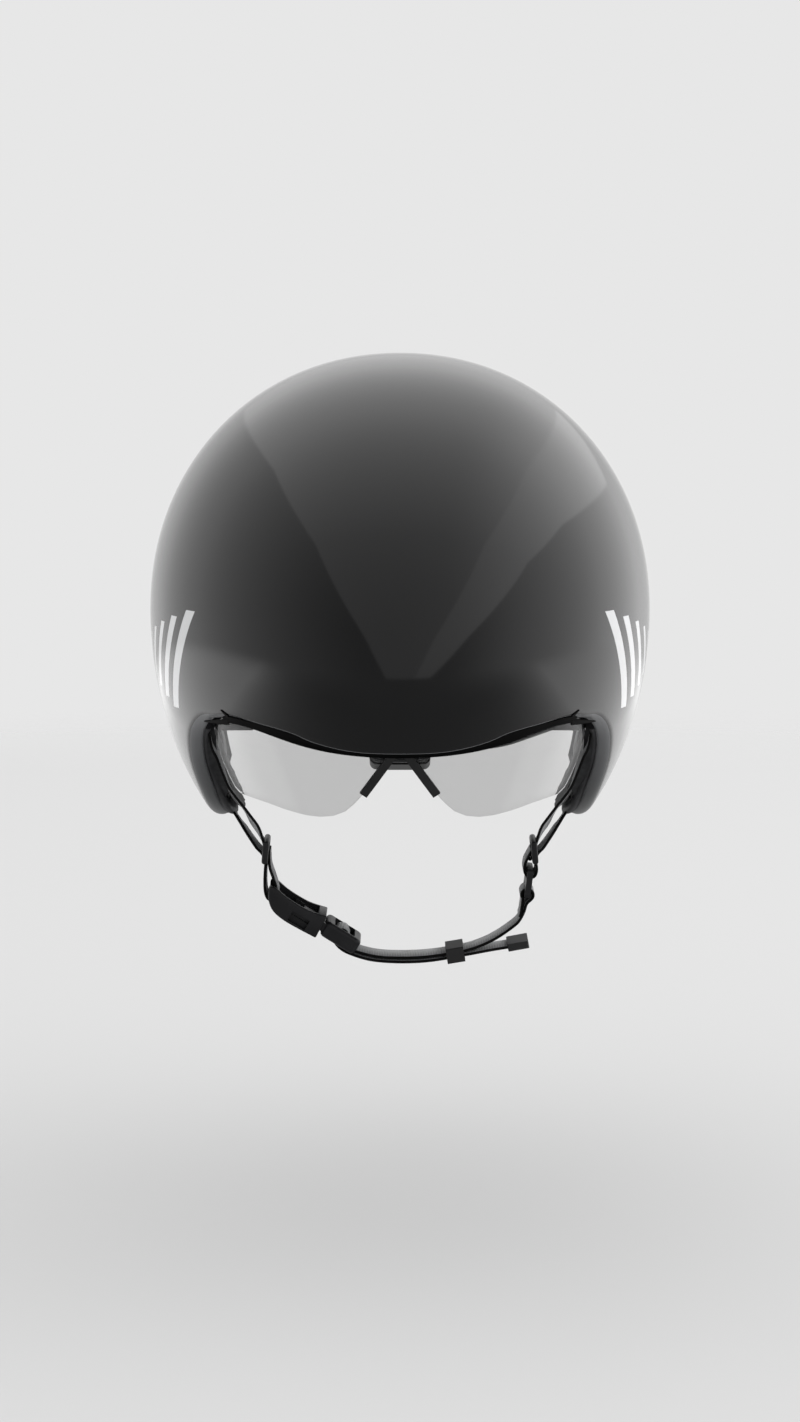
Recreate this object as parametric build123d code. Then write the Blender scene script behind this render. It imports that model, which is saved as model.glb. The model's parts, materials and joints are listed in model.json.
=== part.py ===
from build123d import *
import os
from math import atan2, cos, pi, radians, sin, sqrt, tan

# Aero time trial helmet: a smooth shell over a foam liner, with ear covers, a clear visor held by
# magnets, a chin strap with a side-squeeze buckle, and a nape cradle tightened by a dial.
# Millimetres. +X is to the right in the front view, -Y towards the face, +Y towards the tail and
# +Z up. The origin is the centre of the head seat, level with the widest section of the shell.

# Shell form
half_width = 105.0
face_reach = 112.0
crown_height = 108.0
lower_depth = 130.0
tail_reach = 215.0
tail_cut_share = 0.9535
tail_cut = tail_cut_share * tail_reach
tail_drop = 15.0
width_power = 0.8
crown_power = 0.62
lower_power = 0.8
tail_section_shares = (0.0, 0.14, 0.28, 0.42, 0.56, 0.70, 0.84, 0.95, 1.0)
wall = 1.8
overrun = 60.0

# Rim of the shell in the side view, as shares of the reach and of the lower depth
rim_front_shares = (
    (-1.20, -0.356), (-0.9375, -0.354), (-0.866, -0.308), (-0.714, -0.277), (-0.589, -0.281),
    (-0.446, -0.369), (-0.357, -0.462), (-0.250, -0.577), (-0.107, -0.654),
)
rim_rear_shares = (
    (0.024, -0.677), (0.146, -0.615), (0.268, -0.462), (0.390, -0.369), (0.585, -0.323), (1.0, -0.262),
    (1.12, -0.250),
)
lip_depth = 6.2
lip_height = 3.0
lip_front_share = -0.56

# Foam liner and the hollow for the head
liner_gap = 0.3
foam_side = 27.0
foam_brow = 26.0
foam_crown = 26.0
head_back = 12.0
head_down = 23.0
head_half_width = half_width - foam_side
head_half_length = face_reach - foam_brow + head_back
head_half_height = crown_height - foam_crown + head_down
ear_wall = 10.0
ear_back = -2.0
ear_down = 60.0
ear_half_length = 56.0
ear_half_height = 34.0

# Pads
pad_gap = 0.3
ear_pad_thick = 3.7
ear_pad_half_length = 30.0
ear_pad_half_height = 25.0
ear_pad_bore_length = 19.0
ear_pad_bore_height = 13.0
fit_pad_thick = 5.0
front_pad_share = 0.667
front_pad_low = -33.0
front_pad_high = -13.0
crown_pad_half = 13.0
crown_pad_low = 30.0
side_pad_half = 11.0
side_pad_reach = 34.0
side_pad_back = 12.0
side_pad_low = -16.0
side_pad_high = 30.0

# Visor, as layers measured inwards from the shell form
lens_out = 8.0
lens_thick = 2.0
frame_out = 4.6
frame_in = 11.0
nose_out = 6.2
nose_in = 11.8
dock_in = 11.0
dock_height = 7.0
dock_gap = 0.3
bay_in = 11.8
bay_top = 18.0
lens_wrap = 55.0
frame_wrap = 43.0
visor_back = face_reach - lens_wrap
frame_back = face_reach - frame_wrap
frame_rise = 3.4
nose_leg = 3.2
nose_half_top = 5.4
nose_half_bottom = 15.4
nose_top_share = -0.373
nose_bottom_share = -0.496
nose_top = nose_top_share * lower_depth
nose_bottom = nose_bottom_share * lower_depth
nose_apex_radius = 4.0
lens_top_shares = ((0.0, -0.323), (0.371, -0.277), (0.629, -0.246), (0.81, -0.238))
lens_low_shares = ((0.70, -0.338), (0.60, -0.530), (0.42, -0.564), (0.147, -0.497))
frame_low_shares = ((0.0, -0.368), (0.371, -0.340), (0.58, -0.296), (0.81, -0.288))
magnet_shares = (0.229, 0.533)
magnet_radius = 2.0
magnet_height = 2.4
plate_height = 1.4
plate_cover = 0.6

# Nape cradle in its own frame: Y backwards, Z up, tilted about X
nape_front = 12.0
nape_back = head_back + head_half_length - nape_front
nape_down = 68.0
nape_tilt = 20.0
rail_width = 14.0
rail_thick = 2.4
rail_back = 6.0
rail_low = 12.5
rail_high = 56.0
rail_play = 0.2
rail_travel_up = 4.0
rail_pin_radius = 1.8
rail_pin_length = 8.0
rail_pin_head = 3.0
rail_pin_head_height = 1.0
rail_pin_places = (44.0, 51.0)
cradle_half = 14.0
cradle_low = -14.0
cradle_high = 30.0
cradle_front = -2.2
cradle_back = 10.5
cover_thick = 1.8
cradle_pad_thick = 3.0
rack_thick = 3.0
rack_slot_play = 0.15
pitch_radius = 4.0
tooth_count = 10
pressure_angle = 25.0
gear_addendum = 0.7
rack_addendum = 0.6
root_depth = 0.95
tooth_share = 0.44
rack_back = 3.6
rack_tip = 4.5
shaft_radius = 2.5
shaft_play = 0.06
dial_radius = 12.5
dial_height = 8.0
dial_gap = 0.5
grip_thick = 1.6
grip_inset = 1.2
flute_count = 20
flute_radius = 1.1
screw_radius = 1.25
screw_head_radius = 2.6
screw_head_height = 1.4
screw_length = 9.0
band_thick = 1.6
band_low = -5.0
band_high = 7.6
band_straight = 20.0
band_inset = 69.0
band_bend_radius = half_width - band_inset
band_turn = 62.0
band_arm = 34.0

# Straps, buckle and link; the chin strap runs in a plane seen from the front
chin_back = -12.0
strap_width = 14.0
strap_thick = 1.2
strap_play = 0.3
front_strap_top = (half_width - foam_side, -42.0, -37.0)
front_strap_end = (54.4, -14.0, -96.0)
rear_strap_inset = 2.0
rear_strap_top = (half_width - foam_side - rear_strap_inset, 42.0, -40.0)
rear_strap_end = (57.3, -9.0, -96.0)
anchor_length = 16.0
anchor_height = 8.0
anchor_thick = 5.0
strap_way = 24.0
strap_room = 0.8
divider_x = 55.8
divider_high = -95.0
divider_height = 7.5
divider_width = 19.0
divider_thick = 6.4
divider_slot_depth = 3.0
buckle_x = -54.5
buckle_z = -118.5
buckle_pitch = 32.0
female_length = 26.0
female_width = 20.0
female_thick = 7.6
bar_radius = 1.3
bar_slot = 3.2
socket_start = 9.0
socket_half_width = 8.3
socket_half_height = 2.3
window_start = 10.5
window_end = 18.0
window_half_height = 1.9
male_length = 17.0
male_width = 18.5
male_thick = 7.0
male_slot_start = 3.6
male_slot = 3.4
male_bar_width = 3.0
male_bar_thick = 2.4
male_bar_rise = 0.8
male_loop = 2.6
channel_top = -0.6
neck_start = 15.4
neck_half_width = 2.7
prong_gap = 0.15
prong_half_height = 1.9
prong_thick = 2.8
prong_relief = 0.8
prong_root = 2.6
link_x = 55.0
link_high = -107.5
link_height = 12.5
link_width = 19.0
link_thick = 2.5
link_lean = 7.0
link_bar = 2.3
link_slot = 2.6
link_loop = 2.4
chin_points = (
    (0.0, -145.8), (12.7, -145.2), (27.0, -142.8), (35.4, -140.0), (41.8, -136.5), (48.3, -131.2),
    (52.2, -126.5),
)
chin_radius = 9.0
layer_gap = 0.6
tail_end = (47.5, -140.9)
keeper_x = 23.4
keeper_z = -144.4
keeper_lean = 9.5
keeper_length = 7.5
keeper_width = 17.5
keeper_height = 6.4
keeper_wall = 1.3
tip_length = 9.0
tip_width = 16.0
tip_thick = 3.2
tip_cover = 2.0
tip_lean = 10.5
strap_end_gap = 0.3
corner = 0.8


# Shell form

def form_section(y, inset):
    """Cross-section of the form at y, half an ellipse above and another below the widest level."""
    size = 1 - (y / tail_reach) ** 2
    half = half_width * size ** width_power - inset
    high = crown_height * size ** crown_power - inset
    low = lower_depth * size ** lower_power - inset
    level = -tail_drop * (y / tail_reach) ** 2
    plane = Plane(origin=(0, y, level), x_dir=(1, 0, 0), z_dir=(0, -1, 0))
    upper = EllipticalCenterArc((0, 0), half, high, 0, arc_size=180)
    lower = EllipticalCenterArc((0, 0), half, low, 180, arc_size=180)
    return plane * make_face([upper, lower])


def front_ball(inset, height):
    """Quarter of an ellipsoid in front of the origin, above it or below it."""
    start = 0 if height > 0 else -90
    whole = (Align.NONE, Align.NONE, Align.NONE)
    quarter = Rot(0, 0, 180) * Sphere(1, arc_size1=start, arc_size2=start + 90, arc_size3=180, align=whole)
    return scale(quarter, by=(half_width - inset, face_reach - inset, abs(height) - inset), about=(0, 0, 0))


def tail_body(inset):
    """Rear of the form, lofted from sections up to the flat end."""
    end = tail_cut - inset
    return loft([form_section(share * end, inset) for share in tail_section_shares])


def form(inset):
    """Whole outer form, drawn in all round by the inset."""
    return front_ball(inset, crown_height) + front_ball(inset, -lower_depth) + tail_body(inset)


def rim_points():
    """Rim of the shell in the side view, from front to rear."""
    front = [(a * face_reach, b * lower_depth) for a, b in rim_front_shares]
    rear = [(a * tail_cut, b * lower_depth) for a, b in rim_rear_shares]
    return front + rear


def below_rim(raised):
    """Everything under the rim, seen from the side, with the rim moved up by a height."""
    points = [(y, z + raised) for y, z in rim_points()]
    floor = -lower_depth - overrun
    curve = Spline(points)
    sides = Polyline(points[-1], (points[-1][0], floor), (points[0][0], floor), points[0])
    side = Plane.YZ * make_face([curve, *sides.edges()])
    return extrude(side, half_width + overrun, both=True)


def box_between(low, high):
    """Box between two opposite corners."""
    size = [b - a for a, b in zip(low, high)]
    middle = [(a + b) / 2 for a, b in zip(low, high)]
    return Pos(*middle) * Box(*size)


def side_half(side):
    """Everything on one side of the mid plane."""
    reach = half_width + overrun
    low, high = ((0, reach) if side > 0 else (-reach, 0))
    return box_between((low, -face_reach - overrun, -2 * lower_depth), (high, tail_reach, 2 * crown_height))


def make_shell():
    """Outer shell with its wall, open below the rim, and a lip rolled inwards round the ear covers."""
    skin = form(0) - form(wall) - below_rim(0)
    lip = (form(wall / 2) - form(lip_depth)) & (below_rim(lip_height) - below_rim(0))
    lip = lip & box_between(
        (-half_width - overrun, lip_front_share * face_reach, -lower_depth),
        (half_width + overrun, tail_cut - wall / 2, crown_height),
    )
    return skin + lip


def head_hollow(inset):
    """Room for the head: an ellipsoid above the temples and an elliptical well below them."""
    half, length, high = head_half_width - inset, head_half_length - inset, head_half_height - inset
    dome = Pos(0, head_back, -head_down) * scale(Sphere(1), by=(half, length, high), about=(0, 0, 0))
    well = Pos(0, head_back, -head_down) * extrude(Ellipse(half, length), -lower_depth - overrun)
    return dome + well


def ear_outline(half_length, half_height):
    """Oval seen from the side, through both ear covers."""
    plane = Plane.YZ * Pos(ear_back, -ear_down)
    return extrude(plane * Ellipse(half_length, half_height), half_width + overrun, both=True)


def visor_bay():
    """Space behind the brow that the visor and its dock take from the foam."""
    space = front_ball(wall, -lower_depth) - front_ball(bay_in, -lower_depth)
    reach = half_width + overrun
    back = strap_width / 2 - visor_back
    return space & box_between((-reach, -face_reach, -lower_depth), (reach, back, -bay_top))


def front_view(outline, low, high):
    """Outline drawn in the front view, run through the helmet from low to high along Y."""
    face = Plane(origin=(0, high, 0), x_dir=(1, 0, 0), z_dir=(0, -1, 0)) * outline
    return extrude(face, high - low)


def top_curve(raised):
    """Upper edge of the lens in the front view."""
    return [(a * half_width, b * lower_depth + raised) for a, b in lens_top_shares]


def mirrored_strip(upper, lower):
    """Face between two edges given for the right half and mirrored to the left."""
    high = [(-x, z) for x, z in reversed(upper[1:])] + upper
    low = [(-x, z) for x, z in reversed(lower[1:])] + lower
    ends = [Line(high[0], low[0]), Line(high[-1], low[-1])]
    return make_face([Spline(high), Spline(low), *ends])


def visor_layer(outer, inner, back):
    """Curved layer between two insets of the form, in front of a place along Y."""
    reach = half_width + overrun
    layer = front_ball(outer, -lower_depth) - front_ball(inner, -lower_depth)
    return layer & box_between((-reach, -face_reach, -lower_depth), (reach, -back, 0))


def lens_outline():
    """Lens in the front view: two lobes with a notch for the nose between them."""
    top = top_curve(0)
    low = [(a * half_width, b * lower_depth) for a, b in lens_low_shares]
    notch_top = (nose_half_top, nose_top)
    halves = []
    for side in (1, -1):
        edge = [(side * x, z) for x, z in top]
        lobe = [(side * x, z) for x, z in low]
        tip = (side * notch_top[0], notch_top[1])
        lines = [
            Spline(edge),
            Line(edge[-1], lobe[0]),
            Line(lobe[0], lobe[1]),
            ThreePointArc(lobe[1], lobe[2], lobe[3]),
            Line(lobe[3], tip),
            Line(tip, (0, nose_top + nose_apex_radius)),
            Line((0, nose_top + nose_apex_radius), edge[0]),
        ]
        halves.append(make_face(lines))
    return halves[0] + halves[1]


def make_lens():
    """Clear lens, a layer under the shell form."""
    layer = visor_layer(lens_out, lens_out + lens_thick, visor_back)
    return layer & front_view(lens_outline(), -face_reach, 0)


def make_frame(lens):
    """Top rail of the visor, grooved for the lens."""
    low = [(a * half_width, b * lower_depth) for a, b in frame_low_shares]
    outline = mirrored_strip(top_curve(frame_rise), low)
    rail = visor_layer(frame_out, frame_in, frame_back) & front_view(outline, -face_reach, 0)
    return rail - lens - magnet_discs(0)


def make_dock():
    """Fixed rail above the visor, between the shell and the foam."""
    base = frame_rise + dock_gap
    outline = mirrored_strip(top_curve(base + dock_height), top_curve(base))
    rail = visor_layer(wall + liner_gap, dock_in, frame_back) & front_view(outline, -face_reach, 0)
    return rail - magnet_discs(1)


def strip_height(x):
    """Height of the lens top at x, straight between the points of its curve."""
    edge = top_curve(0)
    for (xa, za), (xb, zb) in zip(edge, edge[1:]):
        if xa <= abs(x) <= xb:
            return za + (zb - za) * (abs(x) - xa) / (xb - xa)
    return edge[-1][1]


def strip_depth(x, z):
    """Place along Y of the middle of the visor rail at x and z."""
    inset = (frame_out + frame_in) / 2
    width, length, height = half_width - inset, face_reach - inset, lower_depth - inset
    return -length * sqrt(1 - (x / width) ** 2 - (z / height) ** 2)


def magnet_discs(fixed):
    """Magnets in the dock, or the steel plates below them in the visor rail."""
    discs = []
    for place in [share * half_width for share in magnet_shares]:
        for side in (1, -1):
            joint = strip_height(place) + frame_rise
            low = joint + 2 * dock_gap + plate_cover if fixed else joint - plate_height - 2 * plate_cover
            height = magnet_height if fixed else plate_height
            y = strip_depth(place, joint)
            discs.append(Pos(side * place, y, low + height / 2) * Cylinder(magnet_radius, height))
    return Compound(children=discs)


def make_nose(lens):
    """Soft channel on the edges of the nose notch, an upturned V with a round top."""
    start = (nose_half_top + nose_leg / 2, nose_top + nose_leg)
    legs = []
    for side in (1, -1):
        low = (side * (nose_half_bottom - nose_leg / 4), nose_bottom)
        high = (side * nose_half_top / 2, nose_top + nose_leg / 2)
        legs.append(trace(Line(low, high), nose_leg))
    crown = Pos(0, nose_top + nose_leg) * Rectangle(2 * start[0], nose_leg)
    outline = legs[0] + legs[1] + crown
    body = visor_layer(nose_out, nose_in, visor_back) & front_view(outline, -face_reach, 0)
    return body - lens


def make_liner():
    """Foam liner under the shell, with room for the head, the ears, the visor and the rail."""
    foam = form(wall + liner_gap) - below_rim(lip_height + liner_gap) - head_hollow(0)
    ears = form(ear_wall) & ear_outline(ear_half_length, ear_half_height)
    groove = nape * box_between(
        (-rail_width / 2 - rail_play, rail_back - overrun, rail_low),
        (rail_width / 2 + rail_play, rail_back + rail_thick + rail_play, rail_high + rail_play),
    )
    room = nape * box_between(
        (-cradle_half - rail_play, rail_back - overrun, 0),
        (cradle_half + rail_play, cradle_back + rail_play, cradle_high + rail_travel_up + 2 * rail_play),
    )
    foam = foam - ears - visor_bay() - groove - room
    for y, z in rail_pin_centres():
        foam -= nape * Pos(0, y, z) * Rot(90, 0, 0) * Cylinder(rail_pin_radius, 2 * rail_pin_length)
    for side in (1, -1):
        for top, end in ((front_strap_top, front_strap_end), (rear_strap_top, rear_strap_end)):
            foam -= anchor_block(top, end, side, liner_gap)
            foam -= strap_passage(top, end, side)
    return foam


def make_ear_pad(side):
    """Foam ring round the ear, on the inside of the ear cover."""
    outer = ear_wall + pad_gap
    layer = form(outer) - form(outer + ear_pad_thick)
    ring = ear_outline(ear_pad_half_length, ear_pad_half_height)
    ring = ring - ear_outline(ear_pad_bore_length, ear_pad_bore_height)
    return layer & ring & side_half(side) - below_rim(lip_height + liner_gap)


def fit_layer():
    """Layer on the wall of the head hollow, thinner towards the ends of the hollow."""
    return head_hollow(pad_gap) - head_hollow(pad_gap + fit_pad_thick)


def make_front_pad():
    """Pad behind the brow."""
    height = front_pad_high - front_pad_low
    pad = RectangleRounded(2 * front_pad_share * head_half_width, height, height / 3)
    outline = Pos(0, (front_pad_low + front_pad_high) / 2) * pad
    return fit_layer() & front_view(outline, -face_reach, 0)


def make_crown_pad():
    """Long pad under the crown."""
    reach = head_half_length
    outline = Pos(0, head_back) * RectangleRounded(2 * crown_pad_half, reach, crown_pad_half / 2)
    return fit_layer() & Pos(0, 0, crown_pad_low) * extrude(outline, crown_height)


def make_side_pad(side):
    """Upright pad above the ear."""
    height = side_pad_high - side_pad_low
    plane = Plane.YZ * Pos(side_pad_back, (side_pad_low + side_pad_high) / 2)
    outline = plane * RectangleRounded(2 * side_pad_reach, height, side_pad_half)
    return fit_layer() & extrude(outline, side * (half_width + overrun))


# Nape cradle

nape = Pos(0, nape_back, -nape_down) * Rot(-nape_tilt, 0, 0)


def rail_pin_centres():
    """Places of the two pins in the frame of the cradle."""
    return [(rail_back + rail_thick / 2, place) for place in rail_pin_places]


def make_height_rail():
    """Flat rail fixed in the foam, on which the cradle slides up and down."""
    half = rail_width / 2
    rail = box_between((-half, rail_back, rail_low), (half, rail_back + rail_thick, rail_high))
    for y, z in rail_pin_centres():
        rail -= Pos(0, y, z) * Rot(90, 0, 0) * Cylinder(rail_pin_radius, 2 * rail_thick)
    return nape * rail


def make_rail_pins():
    """Barbed pins that hold the rail in the foam."""
    pins = []
    for y, z in rail_pin_centres():
        head = Pos(0, rail_back - rail_pin_head_height / 2, z) * Rot(90, 0, 0)
        shank = Pos(0, rail_back + (rail_pin_length - shaft_play) / 2, z) * Rot(90, 0, 0)
        pin = head * Cylinder(rail_pin_head, rail_pin_head_height)
        pin += shank * Cylinder(rail_pin_radius - shaft_play, rail_pin_length - shaft_play)
        pins.append(nape * pin)
    return Compound(children=pins)


def rack_pocket_height():
    """Half height of the pocket that holds the gear and the racks."""
    return pitch_radius + rack_back + rack_slot_play


def make_cradle_base():
    """Body of the cradle: a slot for the rail above, a pocket for the gear and the racks below."""
    body = box_between((-cradle_half, cradle_front, cradle_low), (cradle_half, cradle_back, cradle_high))
    body = fillet(body.edges().filter_by(Axis.Y), 4 * corner)
    rail = box_between(
        (-rail_width / 2 - rail_play, rail_back - rail_play, rail_low - rail_travel_up - rail_play),
        (rail_width / 2 + rail_play, rail_back + rail_thick + rail_play, cradle_high + overrun),
    )
    high = rack_pocket_height()
    back = rack_thick / 2 + rack_slot_play
    pocket = box_between((-overrun, cradle_front - overrun, -high), (overrun, back, high))
    shaft = Rot(90, 0, 0) * Cylinder(shaft_radius + shaft_play, 2 * overrun)
    return nape * (body - rail - pocket - shaft)


def make_cradle_cover():
    """Plate on the head side that closes the gear pocket."""
    high = rack_pocket_height() - rack_slot_play
    front = -rack_thick / 2 - rack_slot_play - cover_thick
    plate = box_between((-cradle_half, front, -high), (cradle_half, front + cover_thick, high))
    return nape * fillet(plate.edges().filter_by(Axis.Y), corner)


def make_cradle_pad():
    """Soft pad on the head side of the cradle, rounded at its rim."""
    back = min(cradle_front, -rack_thick / 2 - rack_slot_play - cover_thick) - pad_gap
    pad = box_between((-cradle_half, back - cradle_pad_thick, cradle_low), (cradle_half, back, cradle_high))
    pad = fillet(pad.edges().filter_by(Axis.Y), 4 * corner)
    return nape * fillet(pad.faces().sort_by(Axis.Y)[0].edges(), cradle_pad_thick / 2)


def involute(angle):
    """Involute function of a pressure angle."""
    return tan(angle) - angle


def tooth_flank(radius):
    """Half angle of a gear tooth at a radius, by the involute of the base circle."""
    alpha = radians(pressure_angle)
    base = pitch_radius * cos(alpha)
    half_at_pitch = tooth_share * pi / tooth_count
    local = 0 if radius <= base else atan2(sqrt(radius ** 2 - base ** 2), base)
    return half_at_pitch + involute(alpha) - involute(local)


def gear_outline():
    """Spur gear with a tooth pointing straight up."""
    root = pitch_radius - root_depth
    tip = pitch_radius + gear_addendum
    base = pitch_radius * cos(radians(pressure_angle))
    radii = [root, base, (base + tip) / 2, tip]
    points = []
    for tooth in range(tooth_count):
        middle = 2 * pi * tooth / tooth_count
        flank = [(radius, middle - tooth_flank(radius)) for radius in radii]
        flank += [(radius, middle + tooth_flank(radius)) for radius in reversed(radii)]
        points += [(radius * sin(angle), radius * cos(angle)) for radius, angle in flank]
    return make_face(Polyline(*points, close=True))


def across(outline, back, thick):
    """Outline in X and Z, extruded from back towards the face by a thickness."""
    return extrude(Plane(origin=(0, back, 0), x_dir=(1, 0, 0), z_dir=(0, -1, 0)) * outline, thick)


def make_dial_pinion():
    """Gear and shaft in one piece."""
    gear = across(gear_outline(), rack_thick / 2, rack_thick)
    length = cradle_back + dial_gap + dial_height - grip_inset - rack_thick / 2
    shaft = across(Circle(shaft_radius), rack_thick / 2 + length, length)
    bore = across(Circle(screw_radius), rack_thick / 2 + length, screw_length)
    return nape * (gear + shaft - bore)


def make_fit_dial():
    """Knob on the outside of the cradle."""
    low = cradle_back + dial_gap
    knob = across(Circle(dial_radius - grip_thick), low + dial_height, dial_height)
    knob = fillet(knob.faces().sort_by(Axis.Y)[-1].edges(), corner)
    bore = across(Circle(shaft_radius), low + dial_height - grip_inset, dial_height)
    head = across(Circle(screw_head_radius + shaft_play), low + dial_height, grip_inset)
    return nape * (knob - bore - head)


def make_dial_grip():
    """Fluted soft ring round the knob."""
    low = cradle_back + dial_gap
    ring = Circle(dial_radius) - Circle(dial_radius - grip_thick)
    for flute in range(flute_count):
        angle = 2 * pi * flute / flute_count
        ring -= Pos(dial_radius * cos(angle), dial_radius * sin(angle)) * Circle(flute_radius)
    return nape * across(ring, low + dial_height - grip_inset, dial_height - grip_inset)


def make_dial_screw():
    """Screw that holds the knob on the shaft."""
    low = cradle_back + dial_gap + dial_height - grip_inset
    height = screw_head_height - corner / 4
    head = across(Circle(screw_head_radius), low + height, height)
    shank = across(Circle(screw_radius - shaft_play), low, screw_length - shaft_play)
    return nape * (head + shank)


def rack_outline(side):
    """Rack seen from behind the cradle, its teeth towards the gear, for the upper (1) or lower (-1) rack."""
    pitch = 2 * pi * pitch_radius / tooth_count
    lean = tan(radians(pressure_angle))
    tip = pitch_radius - rack_addendum
    root = pitch_radius + root_depth
    half_tip = tooth_share * pitch / 2 - rack_addendum * lean
    half_root = tooth_share * pitch / 2 + root_depth * lean
    teeth = [count + 1 / 2 for count in range(-5, 1)]
    points = [(-band_straight - overrun / 6, root)]
    for count in teeth:
        middle = count * pitch
        points += [(middle - half_root, root), (middle - half_tip, tip)]
        points += [(middle + half_tip, tip), (middle + half_root, root)]
    back = pitch_radius + rack_back
    points += [(rack_tip, root), (rack_tip, back), (-band_straight - overrun / 6, back)]
    return make_face(Polyline(*[(side * x, side * z) for x, z in points], close=True))


def band_path():
    """Centre line of the left band in plan: along the rack, round the nape, then forwards."""
    bend = radians(band_turn)
    start = (-band_straight, 0)
    end = (start[0] - band_bend_radius * sin(bend), -band_bend_radius * (1 - cos(bend)))
    middle = (start[0] - band_bend_radius * sin(bend / 2), -band_bend_radius * (1 - cos(bend / 2)))
    tip = (end[0] - band_arm * cos(bend), end[1] - band_arm * sin(bend))
    return [ThreePointArc(start, middle, end), Line(end, tip)]


def make_band(side):
    """Arm that grips the head: a rack through the cradle, then a wide strip bent round the nape."""
    arms = [trace(piece, band_thick) for piece in band_path()]
    arm = Pos(0, 0, band_low) * extrude(arms[0] + arms[1], band_high - band_low)
    reach = half_width + overrun
    rack_low = pitch_radius + root_depth
    outline = Polyline(
        (-band_straight + rack_back, rack_low), (-band_straight + rack_back, band_high), (-reach, band_high),
        (-reach, band_low), (-band_straight - 2 * rack_back, band_low),
        (-band_straight - rack_back, rack_low),
        close=True,
    )
    arm = arm & across(make_face(outline), overrun, reach + overrun)
    rack = across(rack_outline(1), rack_thick / 2, rack_thick)
    rack = rack & box_between((-band_straight, -overrun, -overrun), (overrun, overrun, overrun))
    band = rack + arm
    if side > 0:
        band = Rot(0, 180, 0) * band
    return nape * band


# Straps

def frame_along(start, end, side):
    """Frame at the top of a strap: Z along the strap towards its top, Y along its width."""
    top = Vector(side * start[0], start[1], start[2])
    low = Vector(side * end[0], end[1], end[2])
    along = (top - low).normalized()
    across_strap = (Vector(0, 1, 0) - along * along.Y).normalized()
    normal = across_strap.cross(along)
    return Plane(origin=top, x_dir=normal, z_dir=along), (top - low).length


def webbing(start, end, side):
    """Straight run of flat webbing from its anchor down to the top of the divider."""
    plane, length = frame_along(start, end, side)
    half = strap_width / 2
    run = box_between((-strap_thick / 2, -half, -length - half), (strap_thick / 2, half, 0))
    level = divider_high + strap_end_gap
    reach = half_width + overrun
    below = box_between((-reach, -reach, level - overrun), (reach, reach, level))
    return plane.location * run - below


def anchor_block(start, end, side, clearance):
    """Block in the foam that holds the top of a strap."""
    plane, length = frame_along(start, end, side)
    half = anchor_length / 2 + clearance
    block = box_between(
        (-anchor_thick / 2 - clearance, -half, -clearance),
        (anchor_thick / 2 + clearance, half, anchor_height + clearance),
    )
    return plane.location * block


def strap_passage(start, end, side):
    """Room in the foam round the top of a strap."""
    plane, length = frame_along(start, end, side)
    half = strap_width / 2 + strap_room
    thick = strap_thick / 2 + strap_room
    return plane.location * box_between((-thick, -half, -strap_way), (thick, half, strap_room))


def make_strap_anchors():
    """Four blocks in the foam, one at the top of each strap."""
    blocks = []
    for side in (-1, 1):
        for top, end in ((front_strap_top, front_strap_end), (rear_strap_top, rear_strap_end)):
            block = anchor_block(top, end, side, 0)
            blocks.append(fillet(block.edges().filter_by(lambda e: e.length < anchor_thick + corner), corner))
    return Compound(children=blocks)


def make_divider(side):
    """Slider that joins the front and rear straps, with a slot below for the jaw strap."""
    low = divider_high - divider_height
    body = box_between(
        (divider_x - divider_thick / 2, chin_back - divider_width / 2, low),
        (divider_x + divider_thick / 2, chin_back + divider_width / 2, divider_high),
    )
    body = fillet(body.edges().filter_by(Axis.X), 2 * corner)
    half = strap_width / 2 + strap_play
    body -= box_between(
        (divider_x - strap_thick / 2 - 2 * strap_play, chin_back - half, low - overrun),
        (divider_x + strap_thick / 2 + 2 * strap_play, chin_back + half, low + divider_slot_depth),
    )
    return mirror(body, about=Plane.YZ) if side < 0 else body


def plan_strap(paths):
    """Flat webbing whose paths lie in the front view, its width along Y about the chin plane."""
    pieces = [trace(path, strap_thick) for path in paths]
    band = pieces[0]
    for piece in pieces[1:]:
        band += piece
    return front_view(band, chin_back - strap_width / 2, chin_back + strap_width / 2)


def loop_round(place, radius):
    """Sewn loop of webbing round a bar, as a circle in the front view."""
    return Pos(*place) * CenterArc((0, 0), radius, 0, 360)


def strap_inside_divider(side):
    """Top end of a jaw strap, inside the slot of its divider."""
    return (side * divider_x, divider_high - divider_height + divider_slot_depth - strap_end_gap)


def make_jaw_strap_left():
    """Short run from the left divider to the loop round the bar of the buckle."""
    radius = bar_radius + strap_play + strap_thick / 2
    loop = loop_round((buckle_x, buckle_z), radius)
    return plan_strap([loop, Line(strap_inside_divider(-1), (buckle_x, buckle_z + radius))])


def link_point(depth):
    """Point in the front view on the middle of the link, at a depth below its top edge."""
    lean = radians(link_lean)
    return (link_x - depth * sin(lean), link_high - depth * cos(lean))


def make_jaw_strap_right():
    """Short run from the right divider to the loop round the upper bar of the link."""
    bar = link_point(link_bar / 2)
    top = (bar[0], bar[1] + link_loop)
    return plan_strap([loop_round(bar, link_loop), Line(strap_inside_divider(1), top)])


def make_strap_link():
    """Plate with two slots between the right jaw strap and the chin strap."""
    half = link_width / 2
    plate = box_between((-link_thick / 2, -half, -link_height), (link_thick / 2, half, 0))
    plate = fillet(plate.edges().filter_by(Axis.X), 2 * corner)
    slot_half = strap_width / 2 + strap_play
    for top in (-link_bar, -link_height + link_bar + link_slot):
        plate -= box_between((-overrun, -slot_half, top - link_slot), (overrun, slot_half, top))
    plate = Rot(0, link_lean, 0) * plate
    return Pos(link_x, chin_back, link_high) * plate


# Buckle, in its own frame: X along the strap from the bar at the left end, Z towards the jaw

buckle = Pos(buckle_x, chin_back, buckle_z) * Rot(0, buckle_pitch, 0)


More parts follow.
